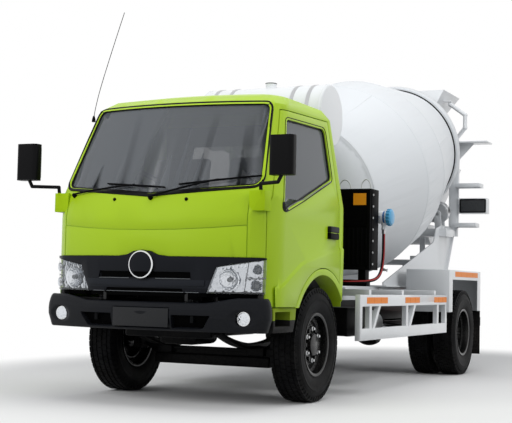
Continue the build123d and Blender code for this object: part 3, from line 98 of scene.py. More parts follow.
class Wiring:
    """Places and joins the nodes of one node tree."""

    def __init__(self, tree: bpy.types.NodeTree) -> None:
        """Keeps the tree that the nodes go into."""
        self.tree = tree

    @classmethod
    def fresh(cls, owner: bpy.types.Material | bpy.types.World) -> "Wiring":
        """Clears the nodes of a material or world and returns their wiring."""
        owner.use_nodes = True
        owner.node_tree.nodes.clear()
        return cls(owner.node_tree)

    def feed(self, target: Socket, value: object) -> None:
        """Links a socket to another one, or sets it to a plain value."""
        if isinstance(value, Socket):
            self.tree.links.new(value, target)
        else:
            target.default_value = value

    def put(self, kind: str, *values: object, **inputs: object) -> bpy.types.Node:
        """Adds a node and sets its inputs.

        Args:
            kind: The node's type, without the words ShaderNode in front.
            values: Values or sockets for its first inputs, in order.
            inputs: Values or sockets by name, with spaces written as underscores. A node
                property is set when no socket has the name.

        Returns:
            The new node.
        """
        node = self.tree.nodes.new("ShaderNode" + kind)
        for name, value in inputs.items():
            socket = node.inputs.get(name.replace("_", " "))
            if socket is None:
                setattr(node, name, value)
            else:
                self.feed(socket, value)
        for socket, value in zip(node.inputs, values):
            self.feed(socket, value)
        return node

    def maths(self, operation: str, first: object, second: object = 0.0) -> Socket:
        """Returns the result of a Math node on sockets or numbers."""
        return self.put("Math", first, second, operation=operation).outputs[0]

    def all_of(self, *flags: Socket) -> Socket:
        """Returns 1 where every flag is 1."""
        return reduce(partial(self.maths, "MULTIPLY"), flags)

    def within(self, value: Socket, low: float, high: float) -> Socket:
        """Returns 1 where a value lies between two limits."""
        return self.all_of(self.maths("GREATER_THAN", value, low),
                           self.maths("LESS_THAN", value, high))

    def mix(self, factor: object, first: object, second: object) -> Socket:
        """Mixes two colours.

        Args:
            factor: A socket or a number from 0 to 1.
            first: Colour or socket shown at 0.
            second: Colour or socket shown at 1.

        Returns:
            The mixed colour's socket.
        """
        node = self.put("Mix", factor, data_type="RGBA")
        self.feed(node.inputs[MIX_FIRST], first)
        self.feed(node.inputs[MIX_SECOND], second)
        return node.outputs[MIX_RESULT]

    def ramp(self, factor: Socket, low: float, high: float) -> Socket:
        """Spreads a value between two limits over 0 to 1, clamped."""
        return self.put("MapRange", interpolation_type="SMOOTHSTEP", Value=factor,
                        From_Min=low, From_Max=high).outputs[0]

    def here(self) -> Socket:
        """Returns the place on the object."""
        return self.put("TexCoord").outputs["Object"]

    def axes(self) -> bpy.types.NodeOutputs:
        """Returns the place on the object as sockets X, Y and Z."""
        return self.put("SeparateXYZ", self.here()).outputs

    def noise(self, scale: object, detail: float) -> Socket:
        """Returns noise of a scale and detail."""
        return self.put("TexNoise", Vector=self.here(), Scale=scale,
                        Detail=detail).outputs["Fac"]

    def seen(self) -> Socket:
        """Returns 1 for what the camera sees, straight, through glass or mirrored."""
        path = self.put("LightPath").outputs
        straight = self.maths("MAXIMUM", path["Is Camera Ray"], path["Is Transmission Ray"])
        return self.maths("MAXIMUM", straight, path["Is Glossy Ray"])

    def mix_shaders(self, factor: Socket, first: Socket, second: Socket) -> Socket:
        """Returns the first shader at 0 and the second one at 1."""
        return self.put("MixShader", factor, first, second).outputs[0]


class Effects:
    """Shared shader groups, each built once and placed in many materials."""

    built: dict[str, bpy.types.NodeTree] = {}

    @classmethod
    def group(cls, name: str, inputs: dict[str, object], outputs: dict[str, object],
              fill: Callable[[Wiring, bpy.types.NodeOutputs], dict[str, Socket]]
              ) -> bpy.types.NodeTree:
        """Makes a group with named sockets the first time it is asked for.

        Args:
            name: The group's name.
            inputs: Default values by socket name; a colour is a tuple.
            outputs: The same for the results.
            fill: Given the wiring and the group's inputs, returns its results by name.

        Returns:
            The node group.
        """
        if name in cls.built:
            return cls.built[name]
        tree = bpy.data.node_groups.new(name, "ShaderNodeTree")
        for way, sockets in (("INPUT", inputs), ("OUTPUT", outputs)):
            for label, value in sockets.items():
                kind = "NodeSocketColor" if isinstance(value, tuple) else "NodeSocketFloat"
                socket = tree.interface.new_socket(label, in_out=way, socket_type=kind)
                socket.default_value = value
        source = tree.nodes.new("NodeGroupInput")
        target = tree.nodes.new("NodeGroupOutput")
        for label, result in fill(Wiring(tree), source.outputs).items():
            tree.links.new(result, target.inputs[label])
        cls.built[name] = tree
        return tree

    @classmethod
    def weather(cls) -> bpy.types.NodeTree:
        """Road dust that settles low down and in a fine mottle, over any colour."""

        def fill(wire: Wiring, given: bpy.types.NodeOutputs) -> dict[str, Socket]:
            """Wires height and noise into a dust mask."""
            low = wire.ramp(wire.axes()["Z"], 1.0, 0.1)
            cloud = wire.noise(4.0, 6.0)
            mask = wire.all_of(wire.ramp(cloud, 0.3, 0.75), low,
                               wire.ramp(wire.noise(60.0, 3.0), 0.25, 0.7), given["Dust"])
            rough = wire.maths("ADD", given["Roughness"], wire.maths("MULTIPLY", mask, 0.4))
            tone = wire.maths("MULTIPLY", wire.maths("SUBTRACT", cloud, 0.5), given["Mottle"])
            return {"Colour": wire.mix(mask, given["Colour"], (0.36, 0.33, 0.29, 1.0)),
                    "Roughness": wire.maths("ADD", rough, tone)}

        grey = (0.5, 0.5, 0.5, 1.0)
        return cls.group("weather", {"Colour": grey, "Roughness": 0.4, "Dust": 0.3,
                                     "Mottle": 0.1}, {"Colour": grey, "Roughness": 0.4}, fill)

    @classmethod
    def grain(cls) -> bpy.types.NodeTree:
        """Fine moulded or cast surface grain, given as a height."""

        def fill(wire: Wiring, given: bpy.types.NodeOutputs) -> dict[str, Socket]:
            """Wires two noises of unlike size into one height."""
            fine = wire.noise(given["Scale"], 4.0)
            broad = wire.noise(wire.maths("MULTIPLY", given["Scale"], 0.13), 2.0)
            return {"Height": wire.maths("ADD", wire.maths("MULTIPLY", fine, 0.6),
                                         wire.maths("MULTIPLY", broad, 0.4))}

        return cls.group("grain", {"Scale": 300.0}, {"Height": 0.0}, fill)


# ------------------------------------------------------------------ finishes


@dataclass(frozen=True)
class Finish:
    """A surface finish with grain and road dust, the base of all others.

    Attributes:
        name: The material's name.
        colour: Linear red, green and blue.
        roughness: Roughness of the clean surface.
        metallic: 1 on bare metal.
        coat: Weight of the clear coat.
        dust: How much road dust lies on it low down.
        mottle: How far the roughness wanders.
        grain_scale: Grain size, as the noise's scale.
        grain_depth: Grain depth in metres.
        slot: The record's material slot that it belongs to; not used.
        coat_roughness: Roughness of the clear coat.
        shine: Strength of the surface's own highlight.
    """

    name: str
    colour: Colour
    roughness: float = 0.4
    metallic: float = 0.0
    coat: float = 0.0
    dust: float = 0.25
    mottle: float = 0.08
    grain_scale: float = 300.0
    grain_depth: float = 0.00005
    slot: str = ""
    coat_roughness: float = 0.04
    shine: float = 0.5

    def build(self) -> bpy.types.Material:
        """Returns the finish's material, made on first use."""
        made = bpy.data.materials.get("finish_" + self.name)
        if made:
            return made
        material = bpy.data.materials.new("finish_" + self.name)
        wire = Wiring.fresh(material)
        wire.put("OutputMaterial", Surface=self.shader(wire).outputs[0])
        return material

    def shader(self, wire: Wiring) -> bpy.types.Node:
        """Returns the shader, with colour, roughness and grain wired into it."""
        weather = wire.put("Group", node_tree=Effects.weather(), Colour=self.tint(wire),
                           Roughness=self.roughness, Dust=self.dust, Mottle=self.mottle)
        bump = wire.put("Bump", Strength=1.0, Distance=self.grain_depth,
                        Height=self.relief(wire))
        return wire.put("BsdfPrincipled", Base_Color=weather.outputs["Colour"],
                        Roughness=weather.outputs["Roughness"], Normal=bump.outputs[0],
                        Metallic=self.metallic, Coat_Weight=self.coat,
                        Coat_Roughness=self.coat_roughness, Specular_IOR_Level=self.shine)

    def tint(self, wire: Wiring) -> object:
        """Returns the base colour, as a value or a socket."""
        return (*self.colour, 1.0)

    def relief(self, wire: Wiring) -> Socket:
        """Returns the height that the bump reads."""
        return wire.put("Group", node_tree=Effects.grain(),
                        Scale=self.grain_scale).outputs["Height"]


@dataclass(frozen=True)
class BrushedFinish(Finish):
    """Rolled or brushed metal with streaks along one axis."""

    def relief(self, wire: Wiring) -> Socket:
        """Returns stretched noise, as brushing leaves."""
        drawn = wire.put("Mapping", Vector=wire.here(), Scale=(1.0, 40.0, 1.0)).outputs[0]
        return wire.put("TexNoise", Vector=drawn, Scale=30.0, Detail=5.0).outputs["Fac"]


@dataclass(frozen=True)
class BandFinish(Finish):
    """Two colours, the second one only between two heights.

    Attributes:
        second: Linear colour of the band.
        low: Height where the band starts.
        high: Height where it ends.
    """

    second: Colour = (0.5, 0.5, 0.5)
    low: float = 0.0
    high: float = 1.0

    def tint(self, wire: Wiring) -> Socket:
        """Puts the second colour between the two heights."""
        height = wire.maths("ABSOLUTE", wire.axes()["Z"])
        return wire.mix(wire.within(height, self.low, self.high), (*self.colour, 1.0),
                        (*self.second, 1.0))


@dataclass(frozen=True)
class CabFinish(Finish):
    """Body paint with black below the grille and under the cab, and grey trim inside. The black
    below the grille stands for the dark parts behind the gap above the bumper and is partly
    painted shade of that gap.

    Attributes:
        nose_shade: Where the black below the grille begins, ahead, and how high it reaches; the
            black is partly painted shade.
        belly: Half width, top and front end of the black under the cab.
        lining: Half width, rear end, front end, foot and top of the trimmed inside.
        black: Linear colour of the black.
        trim: Linear colour of the trim.
    """

    nose_shade: Pair = (0.80, 0.7535)
    belly: Triple = (0.72, 0.90, 0.93)
    lining: tuple[float, float, float, float, float] = (0.66, -0.42, 0.62, 0.90, 2.035)
    black: Colour = (0.002, 0.002, 0.0025)
    trim: Colour = (0.035, 0.038, 0.042)

    def tint(self, wire: Wiring) -> Socket:
        """Chooses paint, black or trim by place."""
        axes = wire.axes()
        along, height, aside = axes["X"], axes["Z"], wire.maths("ABSOLUTE", axes["Y"])
        # Black below the grille: the dark parts behind the gap above the bumper, and partly
        # painted shade in that gap.
        start, top = self.nose_shade
        nose_shade = wire.all_of(wire.maths("GREATER_THAN", along, ahead(start)),
                           wire.maths("LESS_THAN", height, top))
        half, top, front = self.belly
        belly = wire.all_of(wire.maths("LESS_THAN", aside, half),
                            wire.maths("LESS_THAN", height, top),
                            wire.maths("LESS_THAN", along, ahead(front)))
        half, rear, front, foot, top = self.lining
        inside = wire.all_of(wire.maths("LESS_THAN", aside, half),
                             wire.within(along, ahead(rear), ahead(front)),
                             wire.within(height, foot, top))
        painted = wire.mix(inside, (*self.colour, 1.0), (*self.trim, 1.0))
        return wire.mix(wire.maths("MAXIMUM", nose_shade, belly), painted, (*self.black, 1.0))


@dataclass(frozen=True)
class TyreFinish(Finish):
    """Tyre rubber that goes a dusty, worn grey in patches."""

    def tint(self, wire: Wiring) -> Socket:
        """Mixes the rubber's own colour with a greyer one."""
        grey = [min(1.0, part * 2.1 + 0.004) for part in self.colour]
        return wire.mix(wire.ramp(wire.noise(9.0, 5.0), 0.35, 0.7), (*self.colour, 1.0),
                        (*grey, 1.0))


@dataclass(frozen=True)
class WovenFinish(Finish):
    """Seat cloth: a fine over-and-under weave."""

    def relief(self, wire: Wiring) -> Socket:
        """Returns two crossed waves, one for each set of threads."""
        warp, weft = (wire.put("TexWave", Vector=wire.here(), Scale=220.0,
                               bands_direction=way).outputs["Fac"] for way in "YX")
        return wire.maths("MAXIMUM", warp, weft)


@dataclass(frozen=True)
class GlazingFinish(Finish):
    """Clear or tinted glazing, more solid at grazing angles.

    Attributes:
        see_through: Share of the light that passes straight on.
    """

    see_through: float = 0.6

    def shader(self, wire: Wiring) -> bpy.types.Node:
        """Lets the inside show through the shader."""
        shader = super().shader(wire)
        shader.inputs["IOR"].default_value = 1.5
        edge = wire.put("LayerWeight", Blend=0.25).outputs["Fresnel"]
        solid = wire.maths("ADD", wire.maths("MULTIPLY", edge, 0.8), 1.0 - self.see_through)
        wire.feed(shader.inputs["Alpha"], solid)
        return shader


@dataclass(frozen=True)
class GlowFinish(Finish):
    """Prismatic lamp or reflector plastic with small raised cells.

    Attributes:
        cell: Cell size, as the pattern's scale.
    """

    cell: float = 160.0

    def relief(self, wire: Wiring) -> Socket:
        """Returns the cells' height."""
        return wire.put("TexVoronoi", Vector=wire.here(), Scale=self.cell).outputs["Distance"]

    def tint(self, wire: Wiring) -> Socket:
        """Paints a paler sheen towards each cell's edge, as lit facets show."""
        # Paler colour towards the cell edges: painted sheen.
        pale = [min(1.0, part * 1.2) for part in self.colour]
        return wire.mix(wire.ramp(self.relief(wire), 0.1, 0.5), (*self.colour, 1.0),
                        (*pale, 1.0))


LIME_COLOUR = (0.36, 0.545, 0.008)
PAINT: dict[str, float | str] = {
    "coat": 0.25, "dust": 0.06, "mottle": 0.03, "grain_scale": 500.0, "grain_depth": 0.00002,
    "slot": "green_paint", "coat_roughness": 0.24, "shine": 0.22}
LIME = Finish("lime_paint", LIME_COLOUR, 0.42, **PAINT)
CAB_LIME = CabFinish("cab_paint", LIME_COLOUR, 0.42, **PAINT)
WHITE = Finish("white_paint", (0.72, 0.74, 0.76), 0.34, coat=0.5, dust=0.2, mottle=0.06,
               grain_scale=240.0, slot="white_paint")
DRUM_WHITE = Finish("drum_paint", (0.68, 0.705, 0.73), 0.45, coat=0.1, dust=0.08, mottle=0.1,
                    grain_scale=9.0, grain_depth=0.0012, slot="white_paint")
BLACK = Finish("black_paint", (0.003, 0.0033, 0.004), 0.34, dust=0.05, slot="black_paint",
               shine=0.05)
CHARCOAL = Finish("charcoal_plastic", (0.008, 0.009, 0.012), 0.4, dust=0.05, grain_scale=700.0,
                  grain_depth=0.00008, slot="grey_plastic", shine=0.1)
GRILLE = BandFinish("grille_plastic", (0.007, 0.008, 0.011), 0.36, dust=0.03, grain_scale=700.0,
                    slot="grey_plastic", second=(0.014, 0.016, 0.021), low=0.783, high=0.836,
                    shine=0.1)
SOOT = Finish("black_plastic", (0.0022, 0.0022, 0.0027), 0.42, dust=0.04, grain_scale=600.0,
              grain_depth=0.0001, slot="black_plastic", shine=0.04)
# Near-black with little shine: painted shade in the grille's slots, behind the gap below the
# grille, in the bumper's intakes and in the headlamps' divider gap; also the plain near-black
# of the lamps' foot band and the cooler's upper panel.
BLACK_AND_PAINTED_SHADE = Finish("deep_black", (0.0006, 0.0006, 0.0007), 0.9, dust=0.0, slot="black_plastic",
              shine=0.05)
MIRROR_HEADS = BandFinish("mirror_plastic", (0.0022, 0.0022, 0.0027), 0.42, dust=0.02,
                          grain_scale=600.0, grain_depth=0.00008, slot="black_plastic",
                          second=LIME_COLOUR, low=0.0, high=1.4215, shine=0.1)
# Black step with a green band above 0.585 m: the band is green paint, made darker than the lime
# as painted shade of the recessed step.
STEP = BandFinish("step_plastic", (0.003, 0.003, 0.0035), 0.5, dust=0.05, grain_scale=600.0,
                  grain_depth=0.0001, slot="black_plastic", second=(0.22, 0.31, 0.014),
                  low=0.585, high=2.0, shine=0.1)
SEAL = Finish("seal_rubber", (0.002, 0.002, 0.0025), 0.45, dust=0.0, grain_scale=400.0,
              slot="rubber", shine=0.1)
RUBBER = Finish("flap_rubber", (0.004, 0.004, 0.0045), 0.6, dust=0.1, grain_scale=200.0,
                grain_depth=0.0002, slot="rubber", shine=0.08)
TYRE = TyreFinish("tyre_rubber", (0.0022, 0.0023, 0.0027), 0.52, dust=0.03, grain_scale=260.0,
                  grain_depth=0.0002, slot="tyre", shine=0.05)
IRON = Finish("cast_iron", (0.006, 0.006, 0.007), 0.5, metallic=0.2, dust=0.12,
              grain_scale=160.0, grain_depth=0.0004, slot="cast_iron", shine=0.05)
STEEL = BrushedFinish("bright_steel", (0.56, 0.57, 0.58), 0.3, metallic=1.0, dust=0.1,
                      grain_depth=0.00003, slot="steel")
CHROME = Finish("chrome", (0.78, 0.79, 0.80), 0.08, metallic=1.0, dust=0.0, mottle=0.02,
                slot="steel")
SATIN = Finish("satin_silver", (0.13, 0.14, 0.15), 0.28, metallic=0.6, coat=0.4, dust=0.05,
               slot="grey_plastic")
GLASS = GlazingFinish("window_glass", (0.155, 0.168, 0.185), 0.05, coat=0.2, dust=0.0,
                      mottle=0.0, see_through=0.55, slot="window_glass")
LENS = GlazingFinish("lamp_lens", (0.72, 0.75, 0.78), 0.06, coat=0.8, dust=0.0, mottle=0.0,
                     see_through=0.9, slot="clear_lamp")
REFLECTOR = GlowFinish("lamp_reflector", (0.50, 0.52, 0.55), 0.16, metallic=1.0, dust=0.0,
                       grain_depth=0.006, cell=38.0, slot="clear_lamp")
BOWL = GlowFinish("lamp_bowl", (0.58, 0.60, 0.63), 0.14, metallic=1.0, dust=0.0,
                  grain_depth=0.003, cell=70.0, slot="clear_lamp")
AMBER = GlowFinish("amber_reflector", (0.72, 0.19, 0.0), 0.3, dust=0.0, grain_depth=0.0004,
                   slot="red_lamp", shine=0.1)
RED = GlowFinish("red_lens", (0.55, 0.012, 0.01), 0.2, coat=0.8, dust=0.1, grain_depth=0.0004,
                 slot="red_lamp")
BLUE = Finish("blue_cap", (0.05, 0.32, 0.58), 0.35, coat=0.4, dust=0.1, slot="blue_plastic")
DARK_BLUE = Finish("blue_case", (0.02, 0.12, 0.34), 0.4, coat=0.3, dust=0.1,
                   slot="blue_plastic")
RED_HOSE = Finish("red_hose", (0.36, 0.015, 0.015), 0.45, dust=0.1, slot="rubber")
CLOTH = WovenFinish("seat_cloth", (0.075, 0.08, 0.09), 0.85, dust=0.0, grain_depth=0.0006,
                    slot="seat_fabric")
LABEL = Finish("blank_label", (0.95, 0.33, 0.008), 0.45, coat=0.3, dust=0.05,
               slot="white_paint")
BUMPER = Finish("bumper_plastic", (0.006, 0.0068, 0.009), 0.4, dust=0.02, grain_scale=700.0,
                grain_depth=0.00006, slot="grey_plastic", shine=0.12)
DISH = Finish("badge_dish", (0.16, 0.17, 0.19), 0.3, metallic=0.8, coat=0.4, dust=0.0,
              slot="grey_plastic")
PLATE = Finish("plate_seat", (0.010, 0.011, 0.013), 0.16, coat=0.1, dust=0.02,
               slot="grey_plastic", shine=0.2)
PANE = Finish("dark_pane", (0.010, 0.012, 0.014), 0.08, coat=0.9, dust=0.02,
              slot="black_plastic")
COOLER = Finish("cooler_paint", (0.0018, 0.0018, 0.0022), 0.5, dust=0.0, slot="black_plastic",
                shine=0.03)
WHEEL = Finish("wheel_paint", (0.0025, 0.0027, 0.003), 0.22, coat=0.12, dust=0.04,
               slot="black_paint", shine=0.2)
METER_BODY = Finish("meter_body", (0.66, 0.69, 0.71), 0.35, coat=0.4, dust=0.1,
                    slot="blue_plastic")


# ------------------------------------------------------------------ bench


OUTWARDS = partial(bpy.ops.mesh.normals_make_consistent, inside=False)


class Bench:
    """Modelling moves that every sub-assembly uses."""

    @staticmethod
    def clear() -> None:
        """Leaves object mode and selects nothing."""
        if bpy.context.object and bpy.context.object.mode != "OBJECT":
            bpy.ops.object.mode_set(mode="OBJECT")
        bpy.ops.object.select_all(action="DESELECT")

    @staticmethod
    def pick(*pieces: Piece) -> None:
        """Selects pieces, the first of them active."""
        Bench.clear()
        for piece in pieces:
            piece.select_set(True)
        bpy.context.view_layer.objects.active = pieces[0]

    @staticmethod
    def link(name: str, data: bpy.types.ID) -> Piece:
        """Puts data into the scene as a new object and returns it."""
        piece = bpy.data.objects.new(name, data)
        bpy.context.scene.collection.objects.link(piece)
        return piece

    @staticmethod
    def settle(piece: Piece) -> Piece:
        """Moves a piece's place into its mesh, so its object sits at the origin."""
        Bench.pick(piece)
        bpy.ops.object.transform_apply(location=True, rotation=True, scale=True)
        return piece

    @staticmethod
    def edit(piece: Piece, *steps: Callable[[], object]) -> None:
        """Runs edit steps on a piece, each with all of it selected."""
        Bench.pick(piece)
        bpy.ops.object.mode_set(mode="EDIT")
        for step in steps:
            bpy.ops.mesh.select_all(action="SELECT")
            step()
        bpy.ops.object.mode_set(mode="OBJECT")

    @staticmethod
    def apply(piece: Piece, kind: str, **settings: object) -> None:
        """Adds a modifier of a kind with its settings and applies it."""
        Bench.pick(piece)
        modifier = piece.modifiers.new(kind.lower(), kind)
        for name, value in settings.items():
            setattr(modifier, name, value)
        bpy.ops.object.modifier_apply(modifier=modifier.name)

    @staticmethod
    def smooth(piece: Piece, degrees: float = 32.0) -> None:
        """Shades a piece smooth but for edges sharper than an angle."""
        Bench.pick(piece)
        bpy.ops.object.shade_smooth_by_angle(angle=math.radians(degrees))

    @staticmethod
    def coat(piece: Piece, finish: Finish, body: str) -> Piece:
        """Gives a piece its finish and the body it moves with."""
        piece.data.materials.clear()
        piece.data.materials.append(finish.build())
        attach(piece, body)
        log.info("%s in %s on %s", piece.name, finish.name, body)
        return piece

    @staticmethod
    def done(piece: Piece, name: str, finish: Finish, body: str,
             degrees: float = 32.0) -> Piece:
        """Names a modelled piece, settles it at the origin, smooths and coats it.

        Args:
            piece: The modelled piece.
            name: Its name.
            finish: Its finish.
            body: The body it moves with.
            degrees: Edges sharper than this stay sharp in the shading.

        Returns:
            The piece.
        """
        piece.name = name
        piece.data.name = name
        Bench.settle(piece)
        Bench.smooth(piece, degrees)
        return Bench.coat(piece, finish, body)

    @staticmethod
    def cube(middle: Point, size: Point, radius: float, segments: int = 1,
             lean: float = 0.0) -> Piece:
        """Models a block with rounded edges.

        Args:
            middle: Its middle.
            size: Its three lengths.
            radius: Edge radius in metres.
            segments: Faces across each rounded edge.
            lean: Turn about its own X axis, in degrees.

        Returns:
            The piece.
        """
        Bench.clear()
        bpy.ops.mesh.primitive_cube_add(size=1.0, location=middle, scale=size)
        piece = bpy.context.object
        piece.rotation_euler.x = math.radians(lean)
        Bench.settle(piece)
        Bench.apply(piece, "BEVEL", width=radius, segments=segments, limit_method="NONE")
        return piece

    @staticmethod
    def block(name: str, first: Point, second: Point, finish: Finish, body: str,
              radius: float = 0.004, segments: int = 2) -> Piece:
        """Models an upright block with rounded edges.

        Args:
            name: The piece's name.
            first: One corner, its first number ahead of the front axle.
            second: The corner across from it, given in the same way.
            finish: Its finish.
            body: The body it moves with.
            radius: Edge radius in metres.
            segments: Faces across each rounded edge.

        Returns:
            The piece.
        """
        corners = [(ahead(x), y, z) for x, y, z in (first, second)]
        low, high = (Vector([end(pair) for pair in zip(*corners)]) for end in (min, max))
        piece = Bench.cube((low + high) / 2, high - low, radius, segments)
        return Bench.done(piece, name, finish, body)

    @staticmethod
    def turned(name: str, centre: Point, axis: Point, rows: Sequence[Pair], finish: Finish,
               body: str, sides: int = 36, closed: bool = True,
               degrees: float = 32.0) -> Piece:
        """Models a round piece by extruding and widening a ring along its axis.

        Args:
            name: The piece's name.
            centre: Where the axis starts.
            axis: Direction of the axis.
            rows: Rows of distance along the axis and radius there.
            finish: Its finish.
            body: The body it moves with.
            sides: Vertices round the ring.
            closed: Whether the two ends are filled.
            degrees: Edges sharper than this stay sharp in the shading.

        Returns:
            The piece.
        """
        Bench.clear()
        start, first = rows[0]
        bpy.ops.mesh.primitive_circle_add(vertices=sides, radius=first, location=(0, 0, start))
        piece = Bench.settle(bpy.context.object)

        def extrude() -> None:
            """Draws the ring out along the axis, row by row."""
            for (last, wide), (along, radius) in zip(rows, rows[1:]):
                bpy.ops.mesh.extrude_region_move(
                    TRANSFORM_OT_translate={"value": (0.0, 0.0, along - last)})
                bpy.ops.transform.resize(value=(radius / wide, radius / wide, 1.0))

        ends = (partial(bpy.ops.mesh.fill_holes, sides=0),) if closed else ()
        Bench.edit(piece, extrude, *ends, OUTWARDS)
        turn = Vector(axis).to_track_quat("Z", "Y").to_matrix().to_4x4()
        piece.matrix_world = Matrix.Translation(centre) @ turn
        return Bench.done(piece, name, finish, body, degrees)

    @staticmethod
    def pipe(name: str, points: Sequence[Point], radius: float, finish: Finish, body: str,
             closed: bool = False, curved: bool = False, sides: int = 3) -> Piece:
        """Models a round bar, bead or wire along a route.

        Args:
            name: The piece's name.
            points: The route's points.
            radius: Its radius in metres.
            finish: Its finish.
            body: The body it moves with.
            closed: Whether the route joins up with its start.
            curved: Whether it runs smoothly between its points.
            sides: Roundness of its section.

        Returns:
            The piece.
        """
        data = bpy.data.curves.new(name, "CURVE")
        data.dimensions = "3D"
        line = data.splines.new("NURBS" if curved else "POLY")
        line.points.add(len(points) - 1)
        for knot, point in zip(line.points, points):
            knot.co = (*point, 1.0)
        line.use_cyclic_u = closed
        if curved:
            line.order_u = 3
            line.use_endpoint_u = not closed
        data.bevel_depth = radius
        data.bevel_resolution = sides
        data.use_fill_caps = not closed
        Bench.pick(Bench.link(name, data))
        bpy.ops.object.convert(target="MESH")
        return Bench.done(bpy.context.object, name, finish, body, 50.0)

    @staticmethod
    def strip(name: str, loops: Sequence[Sequence[Vector]], finish: Finish, body: str,
              thickness: float = 0.0, closed: bool = True) -> Piece:
        """Models a strip that bridges rows of points, each with the same count.

        Args:
            name: The piece's name.
            loops: Rows of points, from one edge of the strip to the other.
            finish: Its finish.
            body: The body it moves with.
            thickness: Thickness added behind it, in metres.
            closed: Whether each row joins up with its start.

        Returns:
            The piece.
        """
        mesh = bpy.data.meshes.new(name)
        work = bmesh.new()
        rows = [[work.verts.new(point) for point in loop] for loop in loops]
        count = len(rows[0])
        for near, far in zip(rows, rows[1:]):
            for index in range(count if closed else count - 1):
                after = (index + 1) % count
                work.faces.new((near[index], near[after], far[after], far[index]))
        bmesh.ops.recalc_face_normals(work, faces=work.faces)
        work.to_mesh(mesh)
        work.free()
        piece = Bench.link(name, mesh)
        if thickness:
            Bench.apply(piece, "SOLIDIFY", thickness=thickness, offset=0.0)
        return Bench.done(piece, name, finish, body, 40.0)

    @staticmethod
    def repeated(piece: Piece, moves: Sequence[Matrix]) -> Piece:
        """Copies a piece's mesh to many places, all in the one mesh.

        Args:
            piece: The piece that is modelled once.
            moves: One matrix for each copy, which moves it from where it stands.

        Returns:
            The piece, with every copy in its mesh.
        """
        work = bmesh.new()
        for move in moves:
            mesh = piece.data.copy()
            mesh.transform(move)
            work.from_mesh(mesh)
            bpy.data.meshes.remove(mesh)
        work.to_mesh(piece.data)
        work.free()
        Bench.smooth(piece)
        return piece

    @staticmethod
    def dressed(node: str, finish: Finish, bevel: float, degrees: float) -> Piece:
        """Copies a CAD node, rounds its sharp edges and shows the copy in its place.

        Args:
            node: The CAD node's name.
            finish: The finish of the copy.
            bevel: Edge radius in metres, or 0 for none.
            degrees: Edges sharper than this stay sharp in the shading.

        Returns:
            The copy.
        """
        piece = Bench.link("look_" + node, frame["nodes"][node].data.copy())
        Bench.edit(piece, partial(bpy.ops.mesh.remove_doubles, threshold=0.00002),
                   partial(bpy.ops.mesh.dissolve_limited, angle_limit=math.radians(0.6)))
        if bevel:
            Bench.apply(piece, "BEVEL", width=bevel, segments=2, limit_method="ANGLE",
                        angle_limit=math.radians(degrees), use_clamp_overlap=True,
                        harden_normals=False)
        Bench.smooth(piece, degrees)
        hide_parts(node)
        bodies = frame["record"]["behaviour"]["bodies"]
        body = next(name for name, nodes in bodies.items() if node in nodes)
        return Bench.coat(piece, finish, body)


@dataclass
class Skin:
    """Every CAD node whose own form shows, with its finish and edge radius."""

    # columns: finish, edge radius in metres, shading angle in degrees, nodes
    rows: Sequence[tuple[Finish, float, float, Sequence[str]]] = (
        (BLACK, 0.004, 32.0, ("chassis_frame", "rear_bar")),
        (IRON, 0.012, 32.0, ("engine",)),
        (BLACK, 0.005, 32.0, ("front_axle",)),
        (BLACK, 0.006, 32.0, ("rear_axle", "fuel_tank")),
        (BLACK, 0.002, 32.0, ("leaf_springs",)),
        (SOOT, 0.006, 32.0, ("battery_box",)),
        (STEEL, 0.003, 32.0, ("exhaust", "roller_left", "roller_right")),
        (BOWL, 0.003, 32.0, ("fog_lamps",)),
        (WHITE, 0.003, 32.0, ("mixer_subframe", "outriggers", "front_pedestal", "rear_pedestal",
                              "control_box", "side_guard_left", "side_guard_right",
                              "mudguard_left", "mudguard_right", "chute_bracket")),
        (IRON, 0.006, 32.0, ("drum_gearbox",)),
        (WHITE, 0.003, 36.0, ("water_tank",)),
        (COOLER, 0.003, 32.0, ("oil_cooler",)),
        (WHITE, 0.002, 32.0, ("charging_hopper", "discharge_hopper", "ladder", "chute")),
        (RUBBER, 0.002, 32.0, ("mud_flaps",)),
        (RED, 0.004, 32.0, ("rear_lamps",)),
        (CAB_LIME, 0.007, 34.0, ("cab_shell",)),
        (GLASS, 0.0, 40.0, ("cab_glass", "door_glass_left", "door_glass_right")),
        (GRILLE, 0.006, 30.0, ("grille",)),
        (LENS, 0.005, 30.0, ("headlamps",)),
        (SOOT, 0.012, 32.0, ("dashboard",)),
        (MIRROR_HEADS, 0.022, 32.0, ("mirrors",)),
        (STEP, 0.006, 32.0, ("cab_steps",)),
        (LIME, 0.006, 34.0, ("door_left", "door_right")),
        (IRON, 0.003, 32.0, ("knuckle_left", "knuckle_right")),
        (WHEEL, 0.002, 32.0, ("wheel_front_left", "wheel_front_right", "wheel_rear_left",
                              "wheel_rear_right")),
        (DRUM_WHITE, 0.003, 32.0, ("drum_shell",)),
    )

    def build(self) -> None:
        """Dresses each listed node."""
        for finish, bevel, degrees, nodes in self.rows:
            for node in nodes:
                Bench.dressed(node, finish, bevel, degrees)


# ------------------------------------------------------------------ laying on surfaces


def blend(start: float, end: float, share: float) -> float:
    """Returns the value a share of the way between two values."""
    return start + (end - start) * share


def shares(count: int) -> list[float]:
    """Returns the ends of a count of equal steps from 0 to 1."""
    return [step / count for step in range(count + 1)]


def read(rows: Sequence[Pair], at: float) -> float:
    """Returns the value at a place, from rows of place and value in order."""
    low, high = next((pair for pair in zip(rows, rows[1:]) if at <= pair[1][0]), rows[-2:])
    return blend(low[1], high[1], (at - low[0]) / (high[0] - low[0]))


def scaled(rows: Sequence[Pair], size: float) -> list[Pair]:
    """Returns rows of distance and radius from rows of distance and share of a size."""
    return [(along, share * size) for along, share in rows]


